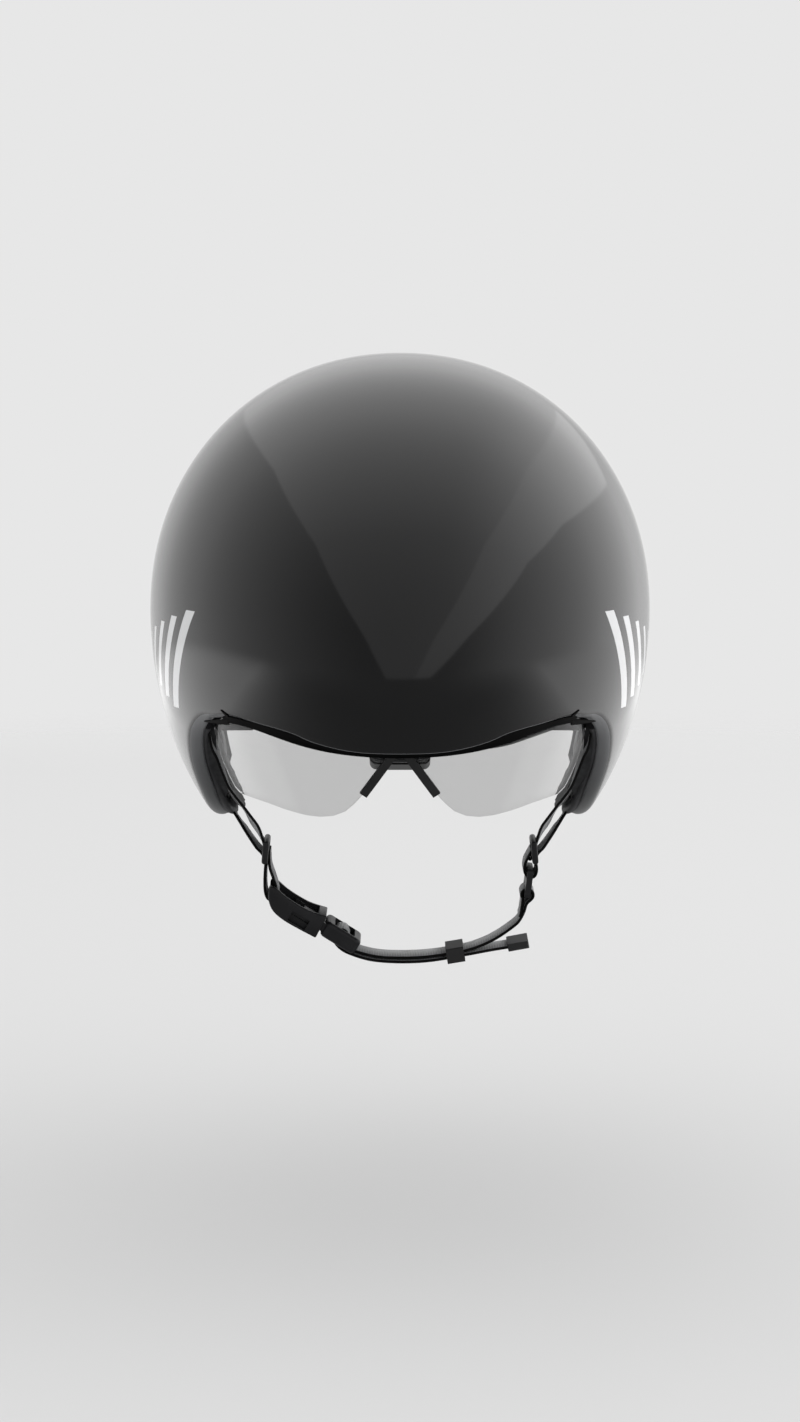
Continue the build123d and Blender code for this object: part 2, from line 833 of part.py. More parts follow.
def in_buckle(x, z):
    """Point of the buckle's frame, given in the front view."""
    pitch = radians(buckle_pitch)
    return (buckle_x + x * cos(pitch) + z * sin(pitch), buckle_z - x * sin(pitch) + z * cos(pitch))


def make_buckle_female():
    """Socket half: a bar for the strap, a socket for the prongs and a window in each side."""
    half = female_width / 2
    slot_half = strap_width / 2 + strap_play
    body = box_between((-bar_radius, -half, -female_thick / 2), (female_length, half, female_thick / 2))
    body = fillet(body.edges().filter_by(Axis.Z), 3 * corner)
    body = fillet(body.edges().filter_by(Axis.Y), 2 * corner)
    opening = box_between((-overrun, -slot_half, -overrun), (bar_radius + bar_slot, slot_half, overrun))
    opening -= Rot(90, 0, 0) * Cylinder(bar_radius, 2 * overrun)
    socket = box_between(
        (socket_start, -socket_half_width, -socket_half_height),
        (female_length + overrun, socket_half_width, socket_half_height),
    )
    windows = box_between(
        (window_start, -overrun, -window_half_height), (window_end, overrun, window_half_height)
    )
    return buckle * (body - opening - socket - windows)


def make_buckle_male():
    """Plug half: a guide tongue, seats for the two prongs and a bar for the chin strap."""
    half = male_width / 2
    slot_half = strap_width / 2 + strap_play
    start = female_length + prong_gap
    body = box_between((start, -half, -male_thick / 2), (start + male_length, half, male_thick / 2))
    body = fillet(body.edges().filter_by(Axis.Z), 3 * corner)
    body = fillet(body.edges().filter_by(Axis.Y), 2 * corner)
    first = start + male_slot_start
    last = first + 2 * male_slot + male_bar_width
    hollow = box_between((first, -slot_half, -overrun), (last, slot_half, overrun))
    hollow += box_between((first, -slot_half, -overrun), (last + overrun, slot_half, channel_top))
    hollow -= box_between(
        (first + male_slot, -overrun, male_bar_rise - male_bar_thick / 2),
        (first + male_slot + male_bar_width, overrun, male_bar_rise + male_bar_thick / 2),
    )
    seats = box_between(
        (start - overrun, -socket_half_width, -prong_half_height - shaft_play),
        (start + prong_root, socket_half_width, prong_half_height + shaft_play),
    )
    neck = box_between(
        (neck_start, -neck_half_width, -prong_half_height),
        (start + prong_root + corner / 2, neck_half_width, prong_half_height),
    )
    return buckle * (body - hollow - seats + neck)


def make_prong(side):
    """Release prong: a root in the plug, an arm, and a head that shows in the side window."""
    outer = socket_half_width - prong_gap
    start = window_start + prong_gap
    end = female_length + prong_root
    prong = box_between((start, outer - prong_thick, -prong_half_height), (end, outer, prong_half_height))
    prong -= box_between(
        (window_end - prong_gap, outer - prong_relief, -overrun),
        (female_length - prong_root, overrun, overrun),
    )
    prong = fillet(prong.edges().filter_by(Axis.Z).sort_by(Axis.X)[:2], corner)
    if side < 0:
        prong = mirror(prong, about=Plane.XZ)
    return buckle * prong


def male_bar():
    """Middle of the plug's bar along the buckle."""
    return female_length + prong_gap + male_slot_start + male_slot + male_bar_width / 2


def make_chin_strap():
    """Chin strap from the link to the plug and, folded round its bar, back to the free tail."""
    link_low = link_point(link_height - link_bar / 2)
    out = female_length + prong_gap + male_length
    main_level = male_bar_rise - male_loop
    drop = strap_thick + layer_gap
    link_foot = (link_low[0] - link_loop * sin(radians(link_lean)), link_low[1] - link_loop)
    main = [in_buckle(male_bar(), main_level), in_buckle(out, main_level), *chin_points, link_foot]
    start = male_bar() - male_loop
    tail = [in_buckle(start, male_bar_rise), in_buckle(start, main_level - drop)]
    tail += [in_buckle(out - drop, main_level - drop)]
    tail += [(x, z - drop) for x, z in chin_points[:3]] + [tail_end]
    bends = [chin_radius] * (len(main) - 2)
    tail_bends = [strap_thick] + [chin_radius] * (len(tail) - 3)
    paths = [
        loop_round(in_buckle(male_bar(), male_bar_rise), male_loop),
        loop_round(link_low, link_loop),
        FilletPolyline(*main, radius=bends),
        FilletPolyline(*tail, radius=tail_bends),
    ]
    return plan_strap(paths)


def make_keeper():
    """Sliding loop that holds the two layers of the chin strap together."""
    outer = Box(keeper_length, keeper_width, keeper_height)
    outer = fillet(outer.edges().filter_by(Axis.X), corner)
    inner = Box(2 * keeper_length, keeper_width - 2 * keeper_wall, keeper_height - 2 * keeper_wall)
    return Pos(keeper_x, chin_back, keeper_z) * Rot(0, -keeper_lean, 0) * (outer - inner)


def make_tip(strap):
    """Moulded end of the free tail, folded over the webbing."""
    half, high = tip_width / 2, tip_thick / 2
    tip = box_between((-tip_cover, -half, -high), (tip_length - tip_cover, half, high))
    tip = fillet(tip.edges().filter_by(Axis.Z), corner)
    return Pos(tail_end[0], chin_back, tail_end[1]) * Rot(0, -tip_lean, 0) * tip - strap


def export_parts():
    """Writes each piece to its own file."""
    lens = make_lens()
    frame = make_frame(lens)
    chin_strap = make_chin_strap()
    parts = {
        "outer_shell": make_shell(),
        "foam_liner": make_liner(),
        "ear_pad_left": make_ear_pad(-1),
        "ear_pad_right": make_ear_pad(1),
        "front_pad": make_front_pad(),
        "crown_pad": make_crown_pad(),
        "side_pad_left": make_side_pad(-1),
        "side_pad_right": make_side_pad(1),
        "visor_dock": make_dock(),
        "dock_magnets": magnet_discs(1),
        "visor_frame": frame,
        "visor_keeper_plates": magnet_discs(0),
        "visor_lens": lens,
        "nose_piece": make_nose(lens) - frame,
        "height_rail": make_height_rail(),
        "rail_pins": make_rail_pins(),
        "cradle_base": make_cradle_base(),
        "cradle_cover": make_cradle_cover(),
        "cradle_pad": make_cradle_pad(),
        "fit_dial": make_fit_dial(),
        "dial_grip": make_dial_grip(),
        "dial_pinion": make_dial_pinion(),
        "dial_screw": make_dial_screw(),
        "band_left": make_band(-1),
        "band_right": make_band(1),
        "strap_anchors": make_strap_anchors(),
        "front_strap_left": webbing(front_strap_top, front_strap_end, -1),
        "front_strap_right": webbing(front_strap_top, front_strap_end, 1),
        "rear_strap_left": webbing(rear_strap_top, rear_strap_end, -1),
        "rear_strap_right": webbing(rear_strap_top, rear_strap_end, 1),
        "strap_divider_left": make_divider(-1),
        "strap_divider_right": make_divider(1),
        "jaw_strap_left": make_jaw_strap_left(),
        "jaw_strap_right": make_jaw_strap_right(),
        "strap_link": make_strap_link(),
        "buckle_female": make_buckle_female(),
        "buckle_male": make_buckle_male(),
        "release_prong_front": make_prong(-1),
        "release_prong_rear": make_prong(1),
        "chin_strap": chin_strap,
        "strap_keeper": make_keeper(),
        "strap_tip": make_tip(chin_strap),
    }
    os.makedirs("parts", exist_ok=True)
    for name, piece in parts.items():
        export_step(piece, os.path.join("parts", name + ".step"))


export_parts()
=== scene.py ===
import json
from math import asin, atan2, cos, pi, radians, sin, sqrt

import bmesh
import bpy
from bpy.props import FloatProperty, FloatVectorProperty, IntProperty, PointerProperty, StringProperty
from bpy.types import Operator, Panel, PropertyGroup
from mathutils import Matrix, Vector

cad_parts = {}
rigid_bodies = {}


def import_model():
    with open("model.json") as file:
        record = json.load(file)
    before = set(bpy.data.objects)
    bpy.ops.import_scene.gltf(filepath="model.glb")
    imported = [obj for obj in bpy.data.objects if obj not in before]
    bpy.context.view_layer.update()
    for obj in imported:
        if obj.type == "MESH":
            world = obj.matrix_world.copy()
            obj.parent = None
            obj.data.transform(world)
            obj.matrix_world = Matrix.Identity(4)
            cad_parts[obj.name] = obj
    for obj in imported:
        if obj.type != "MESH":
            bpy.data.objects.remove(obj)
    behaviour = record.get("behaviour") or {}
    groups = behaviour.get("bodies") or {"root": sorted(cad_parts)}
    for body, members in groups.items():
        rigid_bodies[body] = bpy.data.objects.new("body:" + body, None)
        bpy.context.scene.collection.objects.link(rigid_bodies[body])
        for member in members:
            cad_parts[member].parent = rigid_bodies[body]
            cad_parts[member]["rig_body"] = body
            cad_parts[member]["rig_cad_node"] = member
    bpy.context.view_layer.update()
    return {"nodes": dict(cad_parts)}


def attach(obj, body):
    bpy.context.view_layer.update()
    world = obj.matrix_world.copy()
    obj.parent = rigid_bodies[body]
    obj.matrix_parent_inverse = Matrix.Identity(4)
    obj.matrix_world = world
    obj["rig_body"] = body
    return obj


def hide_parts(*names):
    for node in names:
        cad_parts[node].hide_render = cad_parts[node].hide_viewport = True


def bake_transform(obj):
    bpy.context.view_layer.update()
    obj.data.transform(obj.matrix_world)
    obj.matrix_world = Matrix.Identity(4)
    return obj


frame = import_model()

bl_info = {
    "name": "Time trial helmet",
    "version": (1, 0, 0),
    "blender": (4, 5, 0),
    "location": "3D View > Sidebar > Helmet",
    "description": "Builds the shell, visor, straps and fittings of a time trial helmet on its frame",
    "category": "Object",
}


# Colours and materials

def linear(code, alpha=1.0):
    """Linear colour of an sRGB hex value."""
    parts = [int(code[i:i + 2], 16) / 255 for i in (1, 3, 5)]
    return (*[p / 12.92 if p <= 0.04045 else ((p + 0.055) / 1.055) ** 2.4 for p in parts], alpha)


def add_node(tree, kind, inputs=(), to=(), stops=(), **settings):
    """Adds a shader node with its settings, gives each input a value or a link, and links its outputs on."""
    made = tree.nodes.new("ShaderNode" + kind)
    for name, value in settings.items():
        setattr(made, name, value)
    for i, (position, colour) in enumerate(stops):
        made.color_ramp.elements[i].position = position
        made.color_ramp.elements[i].color = linear(colour)
    for name, value in dict(inputs).items():
        if isinstance(value, bpy.types.NodeSocket):
            tree.links.new(value, made.inputs[name])
        else:
            made.inputs[name].default_value = value
    for name, socket in dict(to).items():
        tree.links.new(made.outputs[name], socket)
    return made


def new_material(name, **values):
    """Material with one Principled shader; values are set on the shader's own sockets."""
    material = bpy.data.materials.new(name)
    material.use_nodes = True
    tree = material.node_tree
    shader = tree.nodes["Principled BSDF"]
    for socket, value in values.items():
        shader.inputs[socket.replace("_", " ")].default_value = value
    return material, tree, shader


def millimetres(size):
    """Texture scale at which one cell is so many millimetres across."""
    return 1000 / size


def lacquered_shell(colours):
    """ABS shell, painted black and clear-coated: near-black body, mirror coat, faint waviness of spray."""
    material, tree, shader = new_material(
        "lacquered_shell", Roughness=0.5, IOR=1.5, Specular_IOR_Level=0.1, Coat_Weight=1.0, Coat_Roughness=0.07,
        Coat_IOR=1.5,
    )
    place = add_node(tree, "TexCoord").outputs["Object"]
    # Spray lays down in drops some 4 mm apart, drawn as it is
    drops = add_node(tree, "TexNoise", {"Vector": place, "Scale": millimetres(4.0), "Detail": 2.0})
    cloud = add_node(tree, "TexNoise", {"Vector": place, "Scale": millimetres(60.0), "Detail": 3.0})
    black = add_node(
        tree, "ValToRGB", {"Fac": cloud.outputs["Fac"]}, stops=((0.35, "#040405"), (0.65, "#080809")),
    )
    # Five painted bars on each side, slanted in the side view, each thinner and shorter than the one before
    first, pitch, level, long, shorter = -0.066, 0.0105, -0.014, 0.021, 0.0034
    split = add_node(tree, "SeparateXYZ", {"Vector": place})
    values = {axis: split.outputs[axis] for axis in "XYZ"}
    for name, operation, a, b in (
        ("slant", "MULTIPLY", "Z", 0.5), ("along", "ADD", "Y", "slant"),
        ("from_first", "SUBTRACT", "along", first), ("in_row", "DIVIDE", "from_first", pitch),
        ("count", "FLOOR", "in_row", 0.0), ("in_pitch", "SUBTRACT", "in_row", "count"),
        ("thinner", "MULTIPLY", "count", 0.07), ("bar", "SUBTRACT", 0.52, "thinner"),
        ("on_bar", "LESS_THAN", "in_pitch", "bar"), ("after_first", "GREATER_THAN", "in_row", 0.0),
        ("before_last", "LESS_THAN", "count", 4.5), ("less", "MULTIPLY", "count", shorter),
        ("half", "SUBTRACT", long, "less"), ("from_level", "SUBTRACT", "Z", level),
        ("height", "ABSOLUTE", "from_level", 0.0), ("in_height", "LESS_THAN", "height", "half"),
        ("width", "ABSOLUTE", "X", 0.0), ("on_side", "GREATER_THAN", "width", 0.06),
        ("row", "MULTIPLY", "after_first", "before_last"), ("bars", "MULTIPLY", "on_bar", "row"),
        ("cut", "MULTIPLY", "bars", "in_height"), ("mask", "MULTIPLY", "cut", "on_side"),
    ):
        terms = {0: values.get(a, a), 1: values.get(b, b)}
        values[name] = add_node(tree, "Math", terms, operation=operation).outputs[0]
    painted = {"Factor": values["mask"], 6: black.outputs["Color"], 7: linear(colours.marking_hex)}
    add_node(tree, "Mix", painted, {2: shader.inputs["Base Color"]}, data_type="RGBA")
    wave = {"Height": drops.outputs["Fac"], "Strength": 0.02, "Distance": 0.0002}
    add_node(tree, "Bump", wave, {"Normal": shader.inputs["Normal"]})
    return material


def lip_painted_highlight():
    """The lip's face: grey, a painted highlight of the rolled edge, softer and lighter than the shell."""
    material, tree, shader = new_material("lip_painted_highlight", Roughness=0.32, IOR=1.5, Specular_IOR_Level=0.6)
    place = add_node(tree, "TexCoord").outputs["Object"]
    split = add_node(tree, "SeparateXYZ", {"Vector": place})
    # The painted highlight fades darker towards the foot of the ear covers
    fade = add_node(tree, "MapRange", {"Value": split.outputs["Z"], "From Min": -0.075, "From Max": -0.04})
    add_node(
        tree, "ValToRGB", {"Fac": fade.outputs["Result"]}, {"Color": shader.inputs["Base Color"]},
        ((0.0, "#48494a"), (1.0, "#6a6b6d")),
    )
    grain = add_node(tree, "TexNoise", {"Vector": place, "Scale": millimetres(0.8), "Detail": 2.0})
    relief = {"Height": grain.outputs["Fac"], "Strength": 0.05, "Distance": 0.0001}
    add_node(tree, "Bump", relief, {"Normal": shader.inputs["Normal"]})
    return material


def textured(name, texture, pattern, stops, relief=None, on_webbing=False, **values):
    """Material of one texture, which gives it its colour and, with a strength and a distance, its relief."""
    material, tree, shader = new_material(name, **values)
    if on_webbing:
        place = add_node(tree, "UVMap", uv_map="webbing").outputs["UV"]
    else:
        place = add_node(tree, "TexCoord").outputs["Object"]
    # First output: a noise's factor or a Voronoi cell's distance
    cells = add_node(tree, texture, {"Vector": place, **pattern}).outputs[0]
    add_node(tree, "ValToRGB", {"Fac": cells}, {"Color": shader.inputs["Base Color"]}, stops)
    if relief:
        bump = {"Height": cells, "Strength": relief[0], "Distance": relief[1]}
        add_node(tree, "Bump", bump, {"Normal": shader.inputs["Normal"]})
    return material


def clear_polycarbonate():
    """Polycarbonate, injection moulded and polished, with a light smoke tint and painted reflections of the lamps."""
    material, tree, shader = new_material(
        "clear_polycarbonate", Roughness=0.0, IOR=1.3, Specular_IOR_Level=0.12, Transmission_Weight=1.0,
        Base_Color=linear("#e1e1e1"),
    )
    place = add_node(tree, "TexCoord").outputs["Object"]
    # Painted reflection: the lamps' edges mirrored in the lens, laid on as two soft slanted steps of darker tint
    # towards the middle of each lobe
    split = add_node(tree, "SeparateXYZ", {"Vector": place})
    across = add_node(tree, "Math", {0: split.outputs["X"]}, operation="ABSOLUTE").outputs[0]
    slant = {0: split.outputs["Z"], 1: -0.32, 2: across}
    reflection_place = add_node(tree, "Math", slant, operation="MULTIPLY_ADD").outputs[0]
    steps = {0: 1.0}
    for socket, stops in (
        (6, ((0.0774, "#dcdcdc"), (0.0788, "#e3e3e3"))), (7, ((0.0652, "#f7f7f7"), (0.0668, "#ffffff"))),
    ):
        steps[socket] = add_node(tree, "ValToRGB", {"Fac": reflection_place}, stops=stops).outputs["Color"]
    add_node(tree, "Mix", steps, {2: shader.inputs["Base Color"]}, data_type="RGBA", blend_type="MULTIPLY")
    return material


def moulded_plastic(name, dark, light, roughness, grain, gleam):
    """Injection-moulded plastic or rubber: one colour with a faint cloud, under a fine spark-eroded grain."""
    material, tree, shader = new_material(name, Roughness=roughness, IOR=1.5, Specular_IOR_Level=gleam)
    place = add_node(tree, "TexCoord").outputs["Object"]
    # Real grain is about 0.1 mm, drawn coarser so that it shows
    texture = add_node(tree, "TexNoise", {"Vector": place, "Scale": millimetres(grain), "Detail": 2.0})
    cloud = add_node(tree, "TexNoise", {"Vector": place, "Scale": millimetres(9.0), "Detail": 2.0})
    add_node(
        tree, "ValToRGB", {"Fac": cloud.outputs["Fac"]}, {"Color": shader.inputs["Base Color"]},
        ((0.3, dark), (0.7, light)),
    )
    relief = {"Height": texture.outputs["Fac"], "Strength": 0.12, "Distance": 0.0001}
    add_node(tree, "Bump", relief, {"Normal": shader.inputs["Normal"]})
    return material


def webbing_painted_sheen(colours):
    """Polyester webbing, its flat face: ribs of weft 1.1 mm apart across yarn 0.9 mm wide, painted grey as the sheen
    of black webbing, and with a shader sheen.
    """
    material, tree, shader = new_material(
        "webbing_painted_sheen", Roughness=0.75, IOR=1.5, Sheen_Weight=0.6, Sheen_Roughness=0.4,
    )
    uv = add_node(tree, "UVMap", uv_map="webbing").outputs["UV"]
    split = add_node(tree, "SeparateXYZ", {"Vector": uv})
    waves = {}
    for socket, (axis, pitch) in enumerate((("Y", 0.0011), ("X", 0.0009))):
        wave = split.outputs[axis]
        turns = 2 * pi / pitch
        for operation, by, plus in (("MULTIPLY", turns, 0.0), ("SINE", 0.0, 0.0), ("MULTIPLY_ADD", 0.5, 0.5)):
            wave = add_node(tree, "Math", {0: wave, 1: by, 2: plus}, operation=operation).outputs[0]
        waves[socket] = wave
    weave = add_node(tree, "Math", waves, operation="MULTIPLY").outputs[0]
    # Painted sheen: the black webbing's face coloured grey, darker between the ribs
    add_node(
        tree, "ValToRGB", {"Fac": weave}, {"Color": shader.inputs["Base Color"]},
        ((0.0, colours.webbing_hex_dark), (0.8, colours.webbing_hex)),
    )
    relief = {"Height": weave, "Strength": 0.6, "Distance": 0.0002}
    add_node(tree, "Bump", relief, {"Normal": shader.inputs["Normal"]})
    return material


MATERIALS = {}


def make_materials(colours):
    """Makes each material once, under the short name that the pieces use."""
    MATERIALS.update(
        shell=lacquered_shell(colours), lip=lip_painted_highlight(), clear=clear_polycarbonate(), face=webbing_painted_sheen(colours),
        # Expanded polystyrene, moulded black: fused beads some 3 mm across under a thin skin
        foam=textured(
            "bead_foam", "TexVoronoi", {"Scale": millimetres(3.2)}, ((0.1, "#2a2b2d"), (0.7, "#17181a")),
            (0.35, -0.0004), Roughness=0.72, IOR=1.5),
        # Polyester knit bonded to soft foam: matt black loops, 1.2 mm, with a soft sheen
        knit=textured(
            "knitted_pad", "TexVoronoi", {"Scale": millimetres(1.2), "Randomness": 0.35},
            ((0.1, "#2b2c2e"), (0.6, "#141516")), (0.5, -0.0003),
            Roughness=0.9, IOR=1.45, Sheen_Weight=0.35, Sheen_Roughness=0.5),
        # Polyester webbing, its folded selvedge: tight black yarn that takes little light
        edge=textured(
            "woven_edge", "TexNoise", {"Scale": millimetres(0.9), "Detail": 2.0},
            ((0.3, "#020202"), (0.7, "#070707")), (0.3, 0.0001), True,
            Roughness=0.85, IOR=1.5, Specular_IOR_Level=0.2),
        # Nickel-plated steel: bright grey metal with a fine brushed blur
        steel=textured(
            "plated_steel", "TexNoise", {"Scale": millimetres(1.5), "Detail": 3.0},
            ((0.3, "#a5a7aa"), (0.7, "#c2c4c6")), Metallic=1.0, Roughness=0.28),
        # The lens's trimmed edge, grey where it scatters the light
        cut_edge=moulded_plastic("trimmed_edge", "#505051", "#626263", 0.4, 0.5, 0.4),
        # Glass-filled nylon: satin black
        nylon=moulded_plastic("moulded_nylon", "#0d0d0e", "#161617", 0.38, 0.5, 0.5),
        # Acetal buckle and sliders: a shade lighter, with a dull gleam
        fitting=moulded_plastic("satin_fitting", "#18181a", "#202022", 0.42, 0.5, 0.3),
        # The visor's rail and the strip along the brow, near black with almost no gleam: painted shade, as they lie in
        # shadow under the brow
        rail=moulded_plastic("rail_painted_shade", "#010101", "#030303", 0.6, 0.6, 0.08),
        # Thermoplastic rubber: matt, slightly dusty
        rubber=moulded_plastic("soft_rubber", "#141415", "#1d1d1e", 0.62, 0.8, 0.5),
        # Foamed edging of the ear covers: dark grey, soft
        trim=moulded_plastic("soft_trim", "#2c2c2d", "#39393b", 0.6, 0.8, 0.3),
    )


def dress(node, material):
    """Gives a piece of the frame its material."""
    mesh = frame["nodes"][node].data
    mesh.materials.clear()
    mesh.materials.append(MATERIALS[material])


# Making and finishing a piece

def deselect():
    """Leaves edit mode and clears the selection."""
    if bpy.context.object and bpy.context.object.mode != "OBJECT":
        bpy.ops.object.mode_set(mode="OBJECT")
    bpy.ops.object.select_all(action="DESELECT")


def start(add, **settings):
    """Adds a primitive, alone in the selection."""
    deselect()
    add(**settings)
    return bpy.context.object


def alone(piece):
    """Makes a piece active and the only one selected."""
    deselect()
    piece.select_set(True)
    bpy.context.view_layer.objects.active = piece


def edit(piece):
    """Opens a piece's mesh in edit mode."""
    alone(piece)
    bpy.ops.object.mode_set(mode="EDIT")
    return bmesh.from_edit_mesh(piece.data)


def leave(piece):
    """Writes the edited mesh back and leaves edit mode."""
    bmesh.update_edit_mesh(piece.data)
    bpy.ops.object.mode_set(mode="OBJECT")


def modify(piece, kind, **settings):
    """Adds a modifier and applies it."""
    alone(piece)
    made = piece.modifiers.new(kind.title(), kind)
    for name, value in settings.items():
        setattr(made, name, value)
    bpy.ops.object.modifier_apply(modifier=made.name)


def outward(piece):
    """Merges points that coincide and turns all faces outwards."""
    edit(piece)
    bpy.ops.mesh.select_all(action="SELECT")
    bpy.ops.mesh.remove_doubles(threshold=0.000001)
    bpy.ops.mesh.normals_make_consistent(inside=False)
    bpy.ops.object.mode_set(mode="OBJECT")


def place_in_mesh(piece):
    """Moves the object's place into its mesh."""
    bpy.context.view_layer.update()
    piece.data.transform(piece.matrix_world)
    piece.matrix_world = Matrix.Identity(4)


def soften(piece, degrees):
    """Shades a piece smooth up to an angle between faces."""
    alone(piece)
    bpy.ops.object.shade_smooth_by_angle(angle=radians(degrees))


def finish(piece, name, body, slot, materials, *nodes):
    """Names a piece, gives it its materials, and ties it to its body and to what it replaces."""
    place_in_mesh(piece)
    piece.name = name
    piece.data.name = name
    kept = [p.material_index for p in piece.data.polygons]
    piece.data.materials.clear()
    for material in materials:
        piece.data.materials.append(MATERIALS[material])
    if len(materials) > 1:
        piece.data.polygons.foreach_set("material_index", kept)
    if nodes:
        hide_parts(*nodes)
    if body:
        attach(piece, body)


def prism(profile, back, front, edge):
    """Plate with an outline in the front view, from its back to its front, its edges rounded."""
    piece = start(bpy.ops.mesh.primitive_circle_add, vertices=len(profile), radius=1, fill_type="NGON")
    mesh = edit(piece)
    mesh.verts.ensure_lookup_table()
    for vert, (x, z) in zip(mesh.verts, profile):
        vert.co = (x / 1000, back, z / 1000)
    bpy.ops.mesh.select_all(action="SELECT")
    bpy.ops.mesh.extrude_region_move(TRANSFORM_OT_translate={"value": (0, front - back, 0)})
    leave(piece)
    outward(piece)
    if edge:
        modify(piece, "BEVEL", width=edge, segments=3, limit_method="ANGLE", angle_limit=radians(35))
    return piece


def cut(piece, tool):
    """Takes a tool's space out of a piece."""
    modify(piece, "BOOLEAN", object=tool, operation="DIFFERENCE", solver="EXACT")
    bpy.data.objects.remove(tool)


def join(piece, other):
    """Unites another piece with a piece."""
    modify(piece, "BOOLEAN", object=other, operation="UNION", solver="EXACT")
    bpy.data.objects.remove(other)


def tube(rings):
    """Closed skin extruded from each ring of points to the next."""
    settings = {"vertices": len(rings[0]), "radius": 1, "fill_type": "NGON", "calc_uvs": False}
    piece = start(bpy.ops.mesh.primitive_circle_add, **settings)
    mesh = edit(piece)
    for vert, place in zip(mesh.verts, rings[0]):
        vert.co = place
    bpy.ops.mesh.select_all(action="SELECT")
    for ring, following in zip(rings, rings[1:]):
        bpy.ops.mesh.extrude_region_move()
        mesh = bmesh.from_edit_mesh(piece.data)
        for vert in [v for v in mesh.verts if v.select]:
            nearest = min(range(len(ring)), key=lambda i: (ring[i] - vert.co).length)
            vert.co = following[nearest]
    leave(piece)
    outward(piece)
    soften(piece, 40)
    return piece


# Form of the shell

def smooth_step(value, low, high):
    """Smooth rise from 0 at the low value to 1 at the high one."""
    t = min(max((value - low) / (high - low), 0), 1)
    return t * t * (3 - 2 * t)


def section(s, y):
    """Half width, height above and depth below the widest level, and that level, at a place along the helmet."""
    front = sqrt(max(1 - (y / s.face_reach) ** 2, 0))
    rear = max(1 - (y / s.tail_reach) ** 2, 0)
    share = smooth_step(y, -0.03, 0.03)
    half = s.half_width * ((1 - share) * front + share * rear ** 0.8)
    high = s.crown_height * ((1 - share) * front + share * rear ** 0.62)
    low = s.lower_depth * ((1 - share) * front + share * rear ** 0.8)
    level = -s.tail_drop * (max(y, 0) / s.tail_reach) ** 2
    near_end = y - (s.tail_cut - s.tail_round)
    if near_end > 0:
        inset = s.tail_round - sqrt(max(s.tail_round ** 2 - near_end ** 2, 0))
        half, high, low = half - inset, high - inset, low - inset
    return half, high, low, level


def fullness(s, x, y, z):
    """Below 1 inside the form, 1 on it."""
    half, high, low, level = section(s, y)
    if min(half, high, low) <= 0 or y >= s.tail_cut or y <= -s.face_reach:
        return 9.0
    up = z - level
    power = s.crown_power if up > 0 else 2.0
    return (abs(x) / half) ** power + (abs(up) / (high if up > 0 else low)) ** power


def on_form(s, direction):
    """Point of the form in a direction from the origin."""
    near, far = 0.0, 0.35
    for _ in range(26):
        middle = (near + far) / 2
        if fullness(s, *(direction * middle)) < 1:
            near = middle
        else:
            far = middle
    return direction * near


def normal_of(s, point):
    """Outward normal of the form at a point on it."""
    step = 0.0002
    if point.y > s.tail_cut - step * 2:
        return Vector((0, 1, 0))
    slope = []
    for axis in range(3):
        shift = Vector([step if i == axis else 0 for i in range(3)])
        slope.append(fullness(s, *(point + shift)) - fullness(s, *(point - shift)))
    return Vector(slope).normalized()


RAIL_EDGE = [
    (-0.1344, -0.0468), (-0.105, -0.0465), (-0.0998, -0.0436), (-0.097, -0.0412), (-0.0905, -0.0387),
    (-0.080, -0.0366), (-0.066, -0.0376),
]
RIM = [
    (-0.1344, -0.0463), (-0.105, -0.0458), (-0.0998, -0.0420), (-0.097, -0.0387), (-0.0905, -0.0361),
    (-0.080, -0.0339), (-0.073, -0.0362), (-0.066, -0.0382), (-0.058, -0.0425), (-0.050, -0.0490),
    (-0.040, -0.0605), (-0.028, -0.0765), (-0.012, -0.0868), (0.005, -0.0898), (0.030, -0.0815), (0.055, -0.060),
    (0.080, -0.048), (0.120, -0.042), (0.205, -0.034), (0.230, -0.0325),
]


def rim_height(y, points=RIM):
    """Height of the rim at a place along the helmet, on a smooth curve through its points."""
    y = min(max(y, points[0][0]), points[-1][0])
    for i in range(len(points) - 1):
        if points[i][0] <= y <= points[i + 1][0]:
            break
    slopes = []
    for j in (i, i + 1):
        a, b = points[max(j - 1, 0)], points[min(j + 1, len(points) - 1)]
        slopes.append((b[1] - a[1]) / (b[0] - a[0]))
    (ya, za), (yb, zb) = points[i], points[i + 1]
    w = yb - ya
    t = (y - ya) / w
    return (
        za * (1 + 2 * t) * (1 - t) ** 2 + zb * t * t * (3 - 2 * t)
        + w * (slopes[0] * t * (1 - t) ** 2 - slopes[1] * t * t * (1 - t))
    )


def bearing(angle, tilt, stretch):
    """Unit direction from the origin at an angle round the helmet and a tilt from straight up."""
    level = Vector((cos(angle), sin(angle) * (stretch if sin(angle) > 0 else 1), 0)).normalized()
    return level * sin(tilt) + Vector((0, 0, cos(tilt)))


def tilt_at(s, angle, stretch, height):
    """Tilt at which the form comes down to a height given for each place along the helmet."""
    near, far = radians(40), radians(172)
    for _ in range(22):
        middle = (near + far) / 2
        point = on_form(s, bearing(angle, middle, stretch))
        if point.z > height(point.y):
            near = middle
        else:
            far = middle
    return near


def rim_tilt(s, angle, stretch):
    """Tilt at which the lip starts, at an angle round the helmet."""
    return tilt_at(s, angle, stretch, lambda y: rim_height(y) + s.lip_roll * lip_share(s, y))


def lip_share(s, y):
    """Share of the full lip at a place along the rim: thin at the brow, full round the ear covers."""
    return 0.2 + 0.8 * smooth_step(y, -0.082, -0.064)


# Straps

